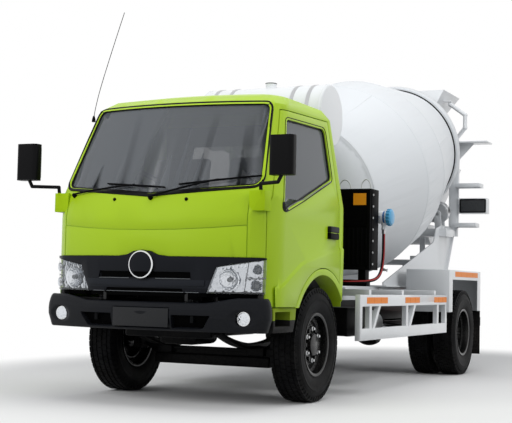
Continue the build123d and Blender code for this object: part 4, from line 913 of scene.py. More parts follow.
def widened(rows: Sequence[Pair], radius: float) -> list[Pair]:
    """Returns rows of distance and radius from rows of distance and growth."""
    return [(along, radius + grow) for along, grow in rows]


def band(start: float, end: float, radius: float, inner: float, outer: float) -> list[Pair]:
    """Returns the rows of a flat band between two places on a radius.

    Args:
        start: Where the band starts along the axis.
        end: Where it ends.
        radius: Radius of what it lies on.
        inner: Growth of the radius to the band's feet.
        outer: Growth of the radius to its face.

    Returns:
        Rows of distance along the axis and radius.
    """
    return widened(((start, inner), (start, outer), (end, outer), (end, inner)), radius)


class Surface:
    """Outer faces of CAD nodes, on which thin pieces are laid."""

    def __init__(self, *nodes: str) -> None:
        """Gathers the nodes' faces for ray tests."""
        work = bmesh.new()
        for node in nodes:
            work.from_mesh(frame["nodes"][node].data)
        self.tree = BVHTree.FromBMesh(work)
        work.free()

    def hit(self, start: Vector, way: Vector, lift: float) -> Vector:
        """Finds where a ray meets the surface.

        Args:
            start: Where the ray starts, outside.
            way: Its direction.
            lift: Height above the surface in metres, below it when negative.

        Returns:
            The lifted point, or the nearest one when the ray passes by.
        """
        place, normal, _, _ = self.tree.ray_cast(start, way)
        if place is None:
            place, normal, _, _ = self.tree.find_nearest(start + way * 2.0)
        if normal.dot(way) > 0.0:
            normal = -normal
        return place + normal * lift

    def front(self, aside: float, height: float, lift: float = 0.0) -> Vector:
        """Returns the point seen from ahead at a place aside and a height."""
        return self.hit(Vector((ahead(3.0), aside, height)), Vector((-1.0, 0.0, 0.0)), lift)

    def stud(self, aside: float, height: float) -> tuple[Vector, Vector]:
        """Returns the point seen from ahead and the way out of the surface there."""
        foot = self.front(aside, height)
        return foot, (self.front(aside, height, 0.01) - foot).normalized()

    def flank(self, x: float, height: float, side: int, lift: float = 0.0) -> Vector:
        """Returns the point seen from one side at a place along and a height."""
        return self.hit(Vector((x, side * 3.0, height)), Vector((0.0, -side, 0.0)), lift)

    def round(self, degrees: float, height: float, side: int, lift: float = 0.0) -> Vector:
        """Returns the point of a front corner seen at an angle from straight ahead."""
        turn = math.radians(degrees)
        way = Vector((-math.cos(turn), -side * math.sin(turn), 0.0))
        return self.hit(Vector((ahead(0.45), side * 0.4, height)) - way * 2.0, way, lift)


class Outline:
    """Closed outlines whose corners are rounded, all with the same count of points."""

    @staticmethod
    def grown(corners: Sequence[Pair], by: float) -> list[Vector]:
        """Moves every side of an outline outwards.

        Args:
            corners: The outline's corners in order.
            by: The distance in metres, inwards when negative.

        Returns:
            The moved corners.
        """
        points = [Vector(corner) for corner in corners]
        back, on = points[-1:] + points[:-1], points[1:] + points[:1]
        double = sum(a.x * b.y - b.x * a.y for a, b in zip(points, on))
        way = 1.0 if double > 0.0 else -1.0
        moved = []
        for before, here, after in zip(back, points, on):
            first, second = (here - before).normalized(), (after - here).normalized()
            near = Vector((first.y, -first.x)) * way
            half = (near + Vector((second.y, -second.x)) * way).normalized()
            moved.append(here + half * (by / half.dot(near)))
        return moved

    @staticmethod
    def rounded(corners: Sequence[Vector], radius: float, arc: int = 6,
                run: int = 8) -> list[Vector]:
        """Rounds the corners and divides the runs between them.

        Args:
            corners: The outline's corners in order.
            radius: Corner radius in metres.
            arc: Steps round each corner.
            run: Steps along each run.

        Returns:
            The points of the outline.
        """
        bends = []
        for before, here, after in zip(corners[-1:] + corners[:-1], corners,
                                       corners[1:] + corners[:1]):
            back, on = before - here, after - here
            reach = min(radius / math.tan(back.angle(on) / 2), 0.45 * back.length,
                        0.45 * on.length)
            start, end = here + back.normalized() * reach, here + on.normalized() * reach
            bends.append([start.lerp(here, share).lerp(here.lerp(end, share), share)
                          for share in shares(arc)])
        points = []
        for bend, following in zip(bends, bends[1:] + bends[:1]):
            points += bend
            points += [bend[-1].lerp(following[0], step / run) for step in range(1, run)]
        return points


def patch(name: str, place: Place, finish: Finish, body: str,
          columns: int = 12, rows: int = 6, thickness: float = 0.0) -> Piece:
    """Lays a four-sided patch on a surface.

    Args:
        name: The piece's name.
        place: Gives the point at two shares from 0 to 1, across and up.
        finish: Its finish.
        body: The body it moves with.
        columns: Faces across.
        rows: Faces up.
        thickness: Thickness added, in metres.

    Returns:
        The piece.
    """
    loops = [[place(across / columns, up / rows) for across in range(columns + 1)]
             for up in range(rows + 1)]
    return Bench.strip(name, loops, finish, body, thickness, closed=False)



def part_of(place: Place, across: Pair, up: Pair, lift: float) -> Place:
    """Cuts one part out of a wider patch.

    Args:
        place: Gives the wider patch's point at a place across, a place up and a lift.
        across: Where the part starts and ends across.
        up: Where it starts and ends up.
        lift: Its lift.

    Returns:
        What gives the part's point at two shares from 0 to 1.
    """
    return lambda a, u: place(blend(*across, a), blend(*up, u), lift)


def soft_step(value: float, low: float, high: float) -> float:
    """Returns 0 below low, 1 above high and a smooth rise between."""
    share = min(1.0, max(0.0, (value - low) / (high - low)))
    return share * share * (3.0 - 2.0 * share)


# ------------------------------------------------------------------ cab


@dataclass
class Glazing:
    """Rubber seals round the panes, with the wipers and washer nozzles.

    Attributes:
        screen: Corners of the windscreen in front view.
        window: Corners of a side window, ahead and up.
        seal: Rows of growth and lift of the windscreen's seal.
        side_seal: The same for a side window.
        radii: Corner radii of the windscreen and of a side window.
        belt: Ends of the moulding below a side window, ahead and up.
    """

    screen: Sequence[Pair] = ((-0.742, 1.464), (0.0, 1.402), (0.742, 1.464), (0.668, 2.038),
                              (-0.668, 2.038))
    window: Sequence[Pair] = ((0.700, 1.292), (0.452, 1.940), (-0.235, 1.957),
                              (-0.235, 1.588))
    seal: Sequence[Pair] = ((0.0235, 0.0005), (0.0205, 0.006), (-0.004, 0.010),
                            (-0.010, 0.0015))
    side_seal: Sequence[Pair] = ((0.018, 0.0005), (0.016, 0.004), (-0.004, 0.007),
                                 (-0.010, 0.0012))
    radii: Pair = (0.055, 0.046)
    belt: Sequence[Pair] = ((0.66, 1.309), (-0.20, 1.569))
    # columns: pivot aside and up, blade's two ends aside and up
    wipers: Sequence[tuple[float, ...]] = ((-0.644, 1.400, -0.362, 1.470, 0.106, 1.436),
                                           (0.019, 1.372, 0.200, 1.455, 0.731, 1.516))
    nozzles: Sequence[Pair] = ((-0.268, 1.366), (0.279, 1.362))

    def lay(self, name: str, corners: Sequence[Pair], rows: Sequence[Pair], radius: float,
            place: Place, body: str) -> None:
        """Lays one seal round a pane.

        Args:
            name: The seal's name.
            corners: The pane's corners.
            rows: Rows of growth and lift.
            radius: The pane's corner radius.
            place: Gives the point at two distances and a lift.
            body: The body it moves with.
        """
        loops = []
        for grow, lift in rows:
            ring = Outline.rounded(Outline.grown(corners, grow), radius + grow, run=12)
            loops.append([place(point.x, point.y, lift) for point in ring])
        Bench.strip(name, loops, SEAL, body)

    def wiper(self, index: int, skin: Surface) -> None:
        """Builds one wiper: its boss, arm, blade and rubber."""
        pivot_y, pivot_z, start_y, start_z, end_y, end_z = self.wipers[index]
        pivot, out = skin.stud(pivot_y, pivot_z)
        Bench.turned(f"wiper_boss_{index}", pivot, out,
                     ((0.0, 0.017), (0.010, 0.016), (0.022, 0.012), (0.026, 0.006)), SOOT, CAB,
                     20)
        blade = [skin.front(blend(start_y, end_y, share), blend(start_z, end_z, share), 0.020)
                 for share in shares(10)]
        middle = blade[len(blade) // 2]
        top = pivot + out * 0.022
        arm = [top, top.lerp(middle, 0.3) + out * 0.012, top.lerp(middle, 0.75) + out * 0.014,
               middle + out * 0.006]
        lip = [point - out * 0.011 for point in blade]
        for part, route, radius, finish in (("arm", arm, 0.0065, SOOT),
                                            ("blade", blade, 0.0055, SOOT),
                                            ("rubber", lip, 0.003, SEAL)):
            Bench.pipe(f"wiper_{part}_{index}", route, radius, finish, CAB)

    def build(self) -> None:
        """Builds the seals, belt mouldings, wipers and nozzles."""
        skin = Surface("cab_shell", "cab_glass")
        self.lay("windscreen_seal", self.screen, self.seal, self.radii[0], skin.front, CAB)
        for side, name in SIDES:
            leaf = Surface("door_" + name, "door_glass_" + name)

            def flank(distance: float, height: float, lift: float) -> Vector:
                """Returns a point of the door, a distance ahead and up."""
                return leaf.flank(ahead(distance), height, side, lift)

            self.lay("window_seal_" + name, self.window, self.side_seal, self.radii[1], flank,
                     name + "_door")
            (start, low), (end, high) = self.belt
            foot = [flank(blend(start, end, share), blend(low, high, share), 0.006)
                    for share in shares(8)]
            Bench.pipe("belt_moulding_" + name, foot, 0.0035, SATIN, name + "_door")
        for index in range(len(self.wipers)):
            self.wiper(index, skin)
        for index, place in enumerate(self.nozzles):
            Bench.turned(f"washer_nozzle_{index}", *skin.stud(*place),
                         ((0.0, 0.012), (0.006, 0.011), (0.010, 0.005)), SOOT, CAB, 16)


@dataclass
class Headlamps:
    """Wrap-round headlamps: a clear lens over reflectors, bowls and dividers, the upright one
    near-black as painted shade in the gap between chambers.

    Attributes:
        low: Height of the lamps' foot.
        tops: Rows of angle round the corner and height of the top edge.
        feet: Angles of the foot's two ends.
        sink: How far the reflector lies behind the lens.
        ribs: Count of the raised ribs below the top edge.
    """

    low: float = 0.756
    tops: Sequence[Pair] = ((12.6, 0.920), (33.7, 0.953), (48.5, 0.972))
    feet: Pair = (6.0, 48.5)
    sink: float = 0.021
    ribs: int = 7
    # columns: name, finish, two shares across, two shares up, lift, faces across and up
    bands: Sequence[tuple[str, Finish, Pair, Pair, float, int, int]] = (
        # The upright divider's near-black is painted shade in the gap between the lamp's
        # chambers.
        ("divider_shade", BLACK_AND_PAINTED_SHADE, (0.585, 0.596), (0.0, 1.0), -0.0015, 2, 10),
        ("divider_level", SATIN, (0.61, 0.99), (0.46, 0.49), -0.0015, 8, 1),
        ("rim_foot", BLACK_AND_PAINTED_SHADE, (0.0, 1.0), (0.0, 0.045), -0.0015, 24, 1))
    # columns: name, place across and up as shares, radius of the mouth and of the bulb
    bowls: Sequence[tuple[str, float, float, float, float]] = (
        ("main", 0.30, 0.47, 0.070, 0.016), ("upper", 0.79, 0.74, 0.030, 0.011),
        ("lower", 0.79, 0.24, 0.034, 0.014))
    # columns: distance ahead of the mouth, share of the mouth's radius
    bowl_rows: Sequence[Pair] = ((0.0, 1.0), (0.003, 0.99), (0.001, 0.93), (-0.006, 0.75),
                                 (-0.011, 0.5), (-0.014, 0.2), (-0.0145, 0.02))
    bulb_rows: Sequence[Pair] = ((-0.014, 0.8), (-0.004, 1.0), (0.002, 0.9), (0.004, 0.5))

    def build(self) -> None:
        """Builds both lamps behind their lenses."""
        skin = Surface("headlamps")
        for side, name in SIDES:

            def back(across: float, up: float, lift: float = -self.sink) -> Vector:
                """Returns a point of the reflector, from its foot to its top edge."""
                angle = blend(self.tops[0][0], self.tops[-1][0], across)
                return skin.round(blend(blend(*self.feet, across), angle, up),
                                  blend(self.low, read(self.tops, angle), up), side, lift)

            patch("lamp_reflector_" + name, back, REFLECTOR, CAB, 30, 14)
            for label, finish, across, up, lift, columns, rows in self.bands:
                patch(f"lamp_{label}_{name}", part_of(back, across, up, lift), finish, CAB,
                      columns, rows, 0.002)
            for label, across, up, mouth, bulb in self.bowls:
                centre = back(across, up, -0.0045)
                out = (back(across, up, -0.002) - centre).normalized()
                axis = (out + Vector((0.6, 0.0, 0.0))).normalized()
                lamp = f"lamp_bowl_{label}_{name}"
                Bench.turned(lamp, centre, axis, scaled(self.bowl_rows, mouth), BOWL, CAB, 40,
                             closed=False)
                Bench.turned(lamp + "_bulb", centre, axis, scaled(self.bulb_rows, bulb), SATIN,
                             CAB, 20)
            for index in range(self.ribs):
                start = blend(0.08, 0.52, index / (self.ribs - 1))
                patch(f"lamp_rib_{index}_{name}",
                      part_of(back, (start, start + 0.03), (0.86, 0.97), -0.006), BOWL, CAB, 1,
                      2, 0.003)


@dataclass
class Badge:
    """Plain ring badge, grille mouldings, and near-black sheets as painted shade in the
    grille's slots and behind the gap below the grille.

    Attributes:
        centre: Middle of the badge's face.
        radius: Outer radius of its ring.
        ring: Rows of distance ahead of the face and growth of the ring's radius.
        dish: The same for the dish inside the ring.
        gap_shade: Rows of height and inset of the near-black sheet below the grille, painted
            shade in the gap above the bumper.
    """

    centre: Point = (ahead(1.072), 0.0, 0.931)
    radius: float = 0.091
    ring: Sequence[Pair] = ((-0.012, 0.001), (-0.003, 0.001), (0.0, -0.003), (0.0005, -0.007),
                            (-0.002, -0.011), (-0.008, -0.013))
    dish: Sequence[Pair] = ((-0.0045, -0.011), (-0.003, -0.03), (-0.0015, -0.055),
                            (-0.001, -0.085), (-0.001, -0.0905))
    gap_shade: Sequence[Pair] = ((0.792, 0.022), (0.752, 0.024), (0.735, 0.028), (0.728, 0.032))
    # columns: name, two places aside, height
    mouldings: Sequence[tuple[str, Pair, float]] = (("upper", (0.10, 0.345), 0.842),
                                                    ("lower", (0.0, 0.40), 0.7555))
    # Near-black sheets laid in the grille's two slots: painted shade.
    # columns: name, two heights, reach aside
    slot_shades: Sequence[tuple[str, Pair, float]] = (("upper", (0.848, 0.885), 0.338),
                                                ("lower", (0.757, 0.775), 0.30))

    def build(self) -> None:
        """Builds the badge, the mouldings, and the near-black sheets of painted shade in the
        slots and below the grille.
        """
        for name, rows, finish in (("ring", self.ring, CHROME), ("dish", self.dish, DISH)):
            Bench.turned("badge_" + name, self.centre, AHEAD, widened(rows, self.radius),
                         finish, CAB, 64, closed=False, degrees=60.0)
        skin = Surface("grille")
        for name, reach, height in self.mouldings:
            for side, _ in SIDES:
                line = [skin.front(side * blend(*reach, share), height, 0.002)
                        for share in shares(10)]
                Bench.pipe(f"grille_line_{name}_{side + 1}", line, 0.0022, SATIN, CAB)
        for name, heights, reach in self.slot_shades:
            patch("grille_slot_shade_" + name, part_of(skin.front, (-reach, reach), heights, 0.0012),
                  BLACK_AND_PAINTED_SHADE, CAB, 40, 4)
        # Near-black sheet behind the gap above the bumper: painted shade.
        wall = Surface("cab_shell", "grille", "headlamps")
        level, half = 0.80, 0.80
        loops = [[wall.front(half * place, level)
                  + Vector((-inset - 0.03 * abs(place) ** 3, 0.0, height - level))
                  for place in (blend(-1.0, 1.0, share) for share in shares(48))]
                 for height, inset in self.gap_shade]
        Bench.strip("grille_gap_shade", loops, BLACK_AND_PAINTED_SHADE, CAB, 0.003, closed=False)


@dataclass
class Bumper:
    """Moulded front bumper with its two intakes, plate seat and lamp recesses.

    Attributes:
        half: Half its width.
        rows: Rows of height and inset of the skin, from the lower lip to the upper one.
        mouth: Half widths of the intakes at their foot and top, and their two heights.
        plate: Half width and two heights of the plate's seat.
        fog: Place aside and height of the fog lamps.
        top: Height from which the skin follows the top edge, then that edge's height in the
            middle and aside.
        rise: Where the top edge rises between those two heights, aside.
        corner: Middle of a rounded corner in plan, ahead and aside, and its radius.
        bow: Middle of the front's wide bow in plan, ahead, its radius and half its width.
        edge: Width over which an opening's walls fall.
        inner: Where the intakes end beside the middle.
        dish: Radii between which the dish round a fog lamp rises.
        hole: The same for the lamp's hole.
        lip: Where the raised lip fades out aside, from and to, and its two heights.
        depths: Depths of intake, seat, dish, hole and lip.
    """

    half: float = 0.847
    rows: Sequence[Pair] = ((0.5060, 0.038), (0.5035, 0.034), (0.510, 0.025), (0.590, 0.001),
                            (0.625, 0.0), (0.655, 0.002), (0.690, 0.010), (0.710, 0.017),
                            (0.7225, 0.026), (0.7258, 0.034), (0.7200, 0.036))
    mouth: tuple[float, float, float, float] = (0.438, 0.490, 0.523, 0.609)
    plate: Triple = (0.216, 0.519, 0.657)
    fog: Pair = (0.693, 0.594)
    top: Triple = (0.62, 0.690, 0.726)
    rise: Pair = (0.42, 0.69)
    corner: Triple = (0.850, 0.765, 0.082)
    bow: Triple = (-1.264, 2.33, 0.786)
    edge: float = 0.006
    inner: float = 0.228
    dish: Pair = (0.035, 0.062)
    hole: Pair = (0.044, 0.049)
    lip: tuple[float, float, float, float] = (0.42, 0.47, 0.508, 0.522)
    depths: tuple[float, ...] = (0.040, 0.007, 0.012, 0.030, -0.004)

    def plan(self) -> list[tuple[Vector, Vector]]:
        """Returns the skin's points and outward normals in plan, from left to right."""
        points = [(Vector((x, self.half)), Vector((0.0, 1.0))) for x in (0.834, 0.842)]
        reach = math.degrees(math.asin(self.bow[2] / self.bow[1]))
        for centre, radius, first, last, steps in (
                (self.corner[:2], self.corner[2], 90.0, 19.0, 14),
                ((self.bow[0], 0.0), self.bow[1], reach, 0.0, 120)):
            for share in shares(steps):
                turn = math.radians(blend(first, last, share))
                out = Vector((math.cos(turn), math.sin(turn)))
                points.append((Vector(centre) + out * radius, out))
        mirrored = [(Vector((place.x, -place.y)), Vector((out.x, -out.y)))
                    for place, out in reversed(points[:-1])]
        return points + mirrored

    def depth(self, aside: float, height: float) -> tuple[float, bool]:
        """Gives how deep the skin lies at a place, and whether it lies in an intake, which is
        coloured near-black as painted shade.

        Args:
            aside: Distance from the middle of the truck.
            height: Height above the ground.

        Returns:
            The depth in metres, and True inside an intake.
        """
        aside = abs(aside)
        foot_reach, top_reach, foot, top = self.mouth
        reach = blend(foot_reach, top_reach, (height - foot) / (top - foot))

        def pocket(half: float, low: float, high: float) -> float:
            """Returns 1 well inside a half width and two heights, and 0 outside."""
            return (soft_step(half - aside, 0.0, self.edge)
                    * soft_step(height, low, low + self.edge)
                    * soft_step(high - height, 0.0, self.edge))

        inside = pocket(reach, foot, top) * soft_step(aside, self.inner,
                                                      self.inner + self.edge)
        out, up = aside - self.fog[0], height - self.fog[1]
        fade, end, low, high = self.lip
        lip = (soft_step(end - aside, 0.0, end - fade) * soft_step(height, low, low + 0.005)
               * soft_step(high - height, 0.0, 0.004))
        dish = 1.0 - soft_step(math.hypot(out / 1.6, up), *self.dish)
        hole = 1.0 - soft_step(math.hypot(out, up), *self.hole)
        parts = (inside, pocket(*self.plate), dish, hole, lip)
        return sum(deep * part for deep, part in zip(self.depths, parts)), inside > 0.6

    def build(self) -> None:
        """Builds the bumper's skin, its lips, its seat and its brackets."""
        heights = []
        for (low, inset), (high, next_inset) in zip(self.rows, self.rows[1:]):
            count = max(1, round((high - low) / 0.004))
            heights += [(blend(low, high, step / count), blend(inset, next_inset, step / count))
                        for step in range(count)]
        heights.append(self.rows[-1])
        mesh = bpy.data.meshes.new("bumper_skin")
        work = bmesh.new()
        plan = self.plan()
        brow, low_top, high_top = self.top
        grid = []
        for height, inset in heights:
            row = []
            for place, out in plan:
                crown = blend(low_top, high_top, soft_step(abs(place.y), *self.rise))
                at = height
                if height >= brow:
                    at = blend(brow, crown, (height - brow) / (high_top - brow))
                sunk, dark = self.depth(place.y, at)
                point = place - out * (inset + sunk)
                row.append((work.verts.new((ahead(point.x), point.y, at)), dark))
            grid.append(row)
        for lower, upper in zip(grid, grid[1:]):
            for index in range(len(plan) - 1):
                corners = (lower[index], upper[index], upper[index + 1], lower[index + 1])
                face = work.faces.new([corner[0] for corner in corners])
                # Faces inside an intake take the second material, near-black: painted shade in
                # the intake.
                face.material_index = 1 if sum(corner[1] for corner in corners) > 2 else 0
        work.to_mesh(mesh)
        work.free()
        skin = Bench.link("bumper_skin", mesh)
        Bench.apply(skin, "SOLIDIFY", thickness=0.004, offset=-1.0)
        Bench.edit(skin, OUTWARDS)
        Bench.smooth(skin, 50.0)
        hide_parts("front_bumper")
        skin.data.materials.append(BUMPER.build())
        skin.data.materials.append(BLACK_AND_PAINTED_SHADE.build())
        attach(skin, CHASSIS)
        log.info("%s in %s on %s", skin.name, BUMPER.name, CHASSIS)
        Bench.block("plate_seat", (1.0505, -0.209, 0.527), (1.0585, 0.209, 0.650), PLATE,
                    CHASSIS, 0.003)
        for side, _ in SIDES:
            Bench.block(f"bumper_bracket_{side + 1}", (0.9603, side * 0.350, 0.56),
                        (1.02, side * 0.374, 0.66), BLACK, CHASSIS, 0.002)
            self.fog_lamp(side)

    def fog_lamp(self, side: int) -> None:
        """Builds one fog lamp: its rim, bowl and bulb."""
        centre = (ahead(0.936), side * self.fog[0], self.fog[1])
        for name, rows, finish, sides in (
                ("rim", ((-0.02, 0.0455), (0.002, 0.0455), (0.002, 0.041), (-0.004, 0.039)),
                 CHROME, 32),
                ("bowl", ((-0.002, 0.040), (-0.012, 0.032), (-0.020, 0.016), (-0.022, 0.002)),
                 BOWL, 32),
                ("bulb", ((-0.022, 0.009), (-0.010, 0.010), (-0.006, 0.006)), CHROME, 16)):
            Bench.turned(f"fog_{name}_{side + 1}", centre, AHEAD, rows, finish, CHASSIS, sides,
                         closed=name == "bulb")


@dataclass
class CabTrim:
    """Door handles, roof aerial and mirror glasses.

    Attributes:
        handle: Rear and front end of the door handles.
        aerial: The aerial's route.
    """

    handle: Pair = (-0.262, -0.090)
    # columns: name, foot, top, reach aside, finish
    handles: Sequence[tuple[str, float, float, float, Finish]] = (
        ("pull", 1.151, 1.196, 0.8735, SOOT), ("lid", 1.198, 1.243, 0.8750, CHARCOAL))
    aerial: Sequence[Point] = ((ahead(0.55), -0.735, 1.975), (ahead(0.55), -0.735, 2.03),
                               (ahead(0.55), -0.66, 2.30), (ahead(0.55), -0.50, 2.75))

    def build(self) -> None:
        """Builds the handles, the aerial and the glasses."""
        rear, front = self.handle
        for side, name in SIDES:
            for label, low, high, out, finish in self.handles:
                Bench.block(f"door_{label}_{name}", (rear, side * 0.8425, low),
                            (front, side * out, high), finish, name + "_door", 0.009, 3)
            middle = side * 0.967
            Bench.block("mirror_glass_" + name, (0.9415, middle - 0.068, 1.525),
                        (0.9455, middle + 0.068, 1.737), CHROME, CAB, 0.0015)
        Bench.pipe("aerial", self.aerial, 0.0025, SOOT, CAB, curved=True)
        Bench.turned("aerial_foot", (ahead(0.55), -0.735, 1.965), UP,
                     ((0.0, 0.014), (0.02, 0.013), (0.045, 0.006)), SOOT, CAB, 16)


# ------------------------------------------------------------------ seats


@dataclass
class Seats:
    """Padded seat cushions and backs that swell between their seams.

    Attributes:
        rows: Rows of name, low corner, high corner and lean of each pad.
        swell: How far the cloth may swell.
        frames: Steps that the cloth is given to swell.
        seams: Places of the two sewn channels, as shares of the pad's width.
        groove: Depth and half width of a channel.
    """

    rows: Sequence[tuple[str, Point, Point, float]] = (
        ("driver_cushion", (-0.175, -0.635, 1.068), (0.285, -0.165, 1.195), 0.0),
        ("driver_back", (-0.175, -0.635, 1.205), (-0.075, -0.165, 1.775), 0.088),
        ("passenger_cushion", (-0.175, 0.005, 1.068), (0.285, 0.655, 1.195), 0.0),
        ("passenger_back", (-0.175, 0.005, 1.205), (-0.075, 0.655, 1.775), 0.088),
    )
    swell: float = 0.012
    frames: int = 12
    seams: Pair = (0.22, 0.78)
    groove: Pair = (0.010, 0.008)

    def pad(self, name: str, low: Point, high: Point, lean: float) -> Piece:
        """Builds one pad: a rounded block that cloth swells, with sewn channels after it.

        Args:
            name: The pad's name.
            low: Its lowest corner, ahead of the front axle.
            high: Its highest corner.
            lean: How far its top leans back, in metres.

        Returns:
            The pad.
        """
        start, end = Vector(low), Vector(high)
        start.x, end.x = ahead(start.x), ahead(end.x)
        piece = Bench.cube((start + end) / 2, end - start, 0.028, 3)
        Bench.apply(piece, "REMESH", mode="VOXEL", voxel_size=0.014)
        Bench.pick(piece)
        cloth = piece.modifiers.new("cloth", "CLOTH")
        cloth.settings.use_pressure = True
        cloth.settings.uniform_pressure_force = 3.0
        cloth.settings.effector_weights.gravity = 0.0
        cloth.settings.quality = 4
        rest = [vertex.co.copy() for vertex in piece.data.vertices]
        for step in range(1, self.frames + 1):
            bpy.context.scene.frame_set(step)
        bpy.ops.object.modifier_apply(modifier=cloth.name)
        bpy.context.scene.frame_set(1)
        for vertex, home in zip(piece.data.vertices, rest):
            move = vertex.co - home
            if move.length > self.swell:
                vertex.co = home + move.normalized() * self.swell
        Bench.apply(piece, "SUBSURF", levels=1, render_levels=1)
        upright = lean > 0.0
        across = end.y - start.y
        for vertex in piece.data.vertices:
            share = (vertex.co.y - start.y) / across
            seam = min(abs(share - place) for place in self.seams) * across
            groove = self.groove[0] * math.exp(-(seam / self.groove[1]) ** 2)
            if upright:
                vertex.co.x -= groove if vertex.co.x > (start.x + end.x) / 2 else -groove
                vertex.co.x -= lean * (vertex.co.z - start.z) / (end.z - start.z)
            elif vertex.co.z > (start.z + end.z) / 2:
                vertex.co.z -= groove
        Bench.done(piece, "seat_" + name, CLOTH, CAB, 60.0)
        return piece

    def build(self) -> None:
        """Builds the pads and their dark bases, in place of the plain seats."""
        pads = [self.pad(*row) for row in self.rows]
        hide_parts("seats")
        for name, low, high in (("driver", -0.60, -0.20), ("passenger", 0.04, 0.62)):
            Bench.block("seat_base_" + name, (-0.16, low, 1.0555), (0.26, high, 1.075), SOOT,
                        CAB, 0.006)
            Bench.block("seat_hinge_" + name, (-0.19, low + 0.02, 1.06),
                        (-0.172, high - 0.02, 1.27), SOOT, CAB, 0.004)


# ------------------------------------------------------------------ wheels


@dataclass
class Tyres:
    """Road tyres with ribs, tread blocks and raised sidewall rings.

    Attributes:
        section: Half section from the bead to the middle of the tread, as rows of distance
            from the tyre's middle and radius.
        pitches: Tread blocks round the tyre.
        blocks: Rows of middle, width and height of each ring of blocks.
    """

    section: Sequence[Pair] = (
        (0.074, 0.212), (0.080, 0.222), (0.086, 0.228), (0.094, 0.245), (0.1005, 0.272),
        (0.1035, 0.300), (0.1035, 0.316), (0.1045, 0.318), (0.1043, 0.324), (0.1020, 0.326),
        (0.0995, 0.350), (0.0980, 0.352), (0.0935, 0.372), (0.0880, 0.384), (0.0820, 0.391),
        (0.0700, 0.3935), (0.0400, 0.3945))
    pitches: int = 56
    blocks: Sequence[Triple] = (
        (-0.078, 0.024, 0.4005), (-0.042, 0.030, 0.4012), (0.0, 0.034, 0.4015),
        (0.042, 0.030, 0.4012), (0.078, 0.024, 0.4005))

    def ring(self, shift: float) -> list[Matrix]:
        """Returns a turn for every pitch, shifted by a share of one."""
        return [Matrix.Rotation(math.tau * (step + shift) / self.pitches, 4, "Y")
                for step in range(self.pitches)]

    def tread(self) -> list[Piece]:
        """Models each ring of tread blocks about the Y axis, at the origin."""
        return [Bench.repeated(Bench.cube((0.0, middle, high - 0.006), (0.0395, width, 0.012),
                                          0.0015), self.ring(0.5 * (index % 2)))
                for index, (middle, width, high) in enumerate(self.blocks)]

    def shoulder(self) -> Piece:
        """Models the shoulder lugs of both sides, at the origin."""
        lug = Bench.cube((0.0, 0.0905, 0.378), (0.026, 0.010, 0.030), 0.0015, lean=22.0)
        return Bench.repeated(lug, [turn @ Matrix.Diagonal((1.0, side, 1.0, 1.0))
                                    for side, _ in SIDES for turn in self.ring(0.25)])

    def build(self) -> None:
        """Builds one tyre and copies it to each place, one piece for each node."""
        rows = [(-along, radius) for along, radius in self.section]
        rows += [(along, radius) for along, radius in reversed(self.section)] + [rows[0]]
        model = Bench.turned("tyre_model", (0.0, 0.0, 0.0), ASIDE, rows, TYRE, CHASSIS, 84,
                             closed=False)
        Bench.pick(model, *self.tread(), self.shoulder())
        bpy.ops.object.join()
        Bench.edit(model, partial(bpy.ops.mesh.remove_doubles, threshold=0.00005), OUTWARDS)
        for side, name in SIDES:
            for label, place, middles in (("tyre_front_", 0.0, (FRONT_TYRE,)),
                                          ("tyres_rear_", -WHEEL_BASE, REAR_TYRES)):
                node = label + name
                piece = Bench.link("look_" + node, model.data.copy())
                Bench.repeated(piece, [
                    Matrix.Translation((ahead(place), side * middle, WHEEL_HEIGHT))
                    for middle in middles])
                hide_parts(node)
                Bench.coat(piece, TYRE, name + ("_rear_wheels" if place else "_front_wheel"))
        bpy.data.objects.remove(model)


@dataclass
class Hubs:
    """Bright nuts and dark rim rings of the front wheels.

    Attributes:
        nuts: Count of nuts, their circle's radius and their own radius.
        nut_rows: Rows of distance from the tyre's middle and share of the nut's radius.
        rim: Rows of distance from the tyre's middle and radius of the rim's ring.
    """

    nuts: tuple[int, float, float] = (6, 0.111, 0.0185)
    nut_rows: Sequence[Pair] = ((0.038, 1.0), (0.058, 1.0), (0.060, 0.9), (0.062, 0.62),
                                (0.071, 0.6), (0.074, 0.45))
    rim: Sequence[Pair] = ((0.076, 0.2105), (0.082, 0.2140), (0.0865, 0.2190),
                           (0.0870, 0.2235), (0.0840, 0.2260))

    def build(self) -> None:
        """Builds the nuts and the rim ring of each front wheel."""
        count, circle, wide = self.nuts
        for side, name in SIDES:
            body = name + "_front_wheel"
            centre = Vector((FRONT_AXLE, side * FRONT_TYRE, WHEEL_HEIGHT))
            axis = (0.0, side, 0.0)
            for index in range(count):
                turn = math.tau * (index + 0.5) / count
                foot = centre + Vector((circle * math.cos(turn), 0.0, circle * math.sin(turn)))
                Bench.turned(f"wheel_nut_{body}_{index}", foot, axis,
                             scaled(self.nut_rows, wide), STEEL, body, 6)
            Bench.turned("rim_ring_" + body, centre, axis, self.rim, WHEEL, body, 72,
                         closed=False, degrees=60.0)


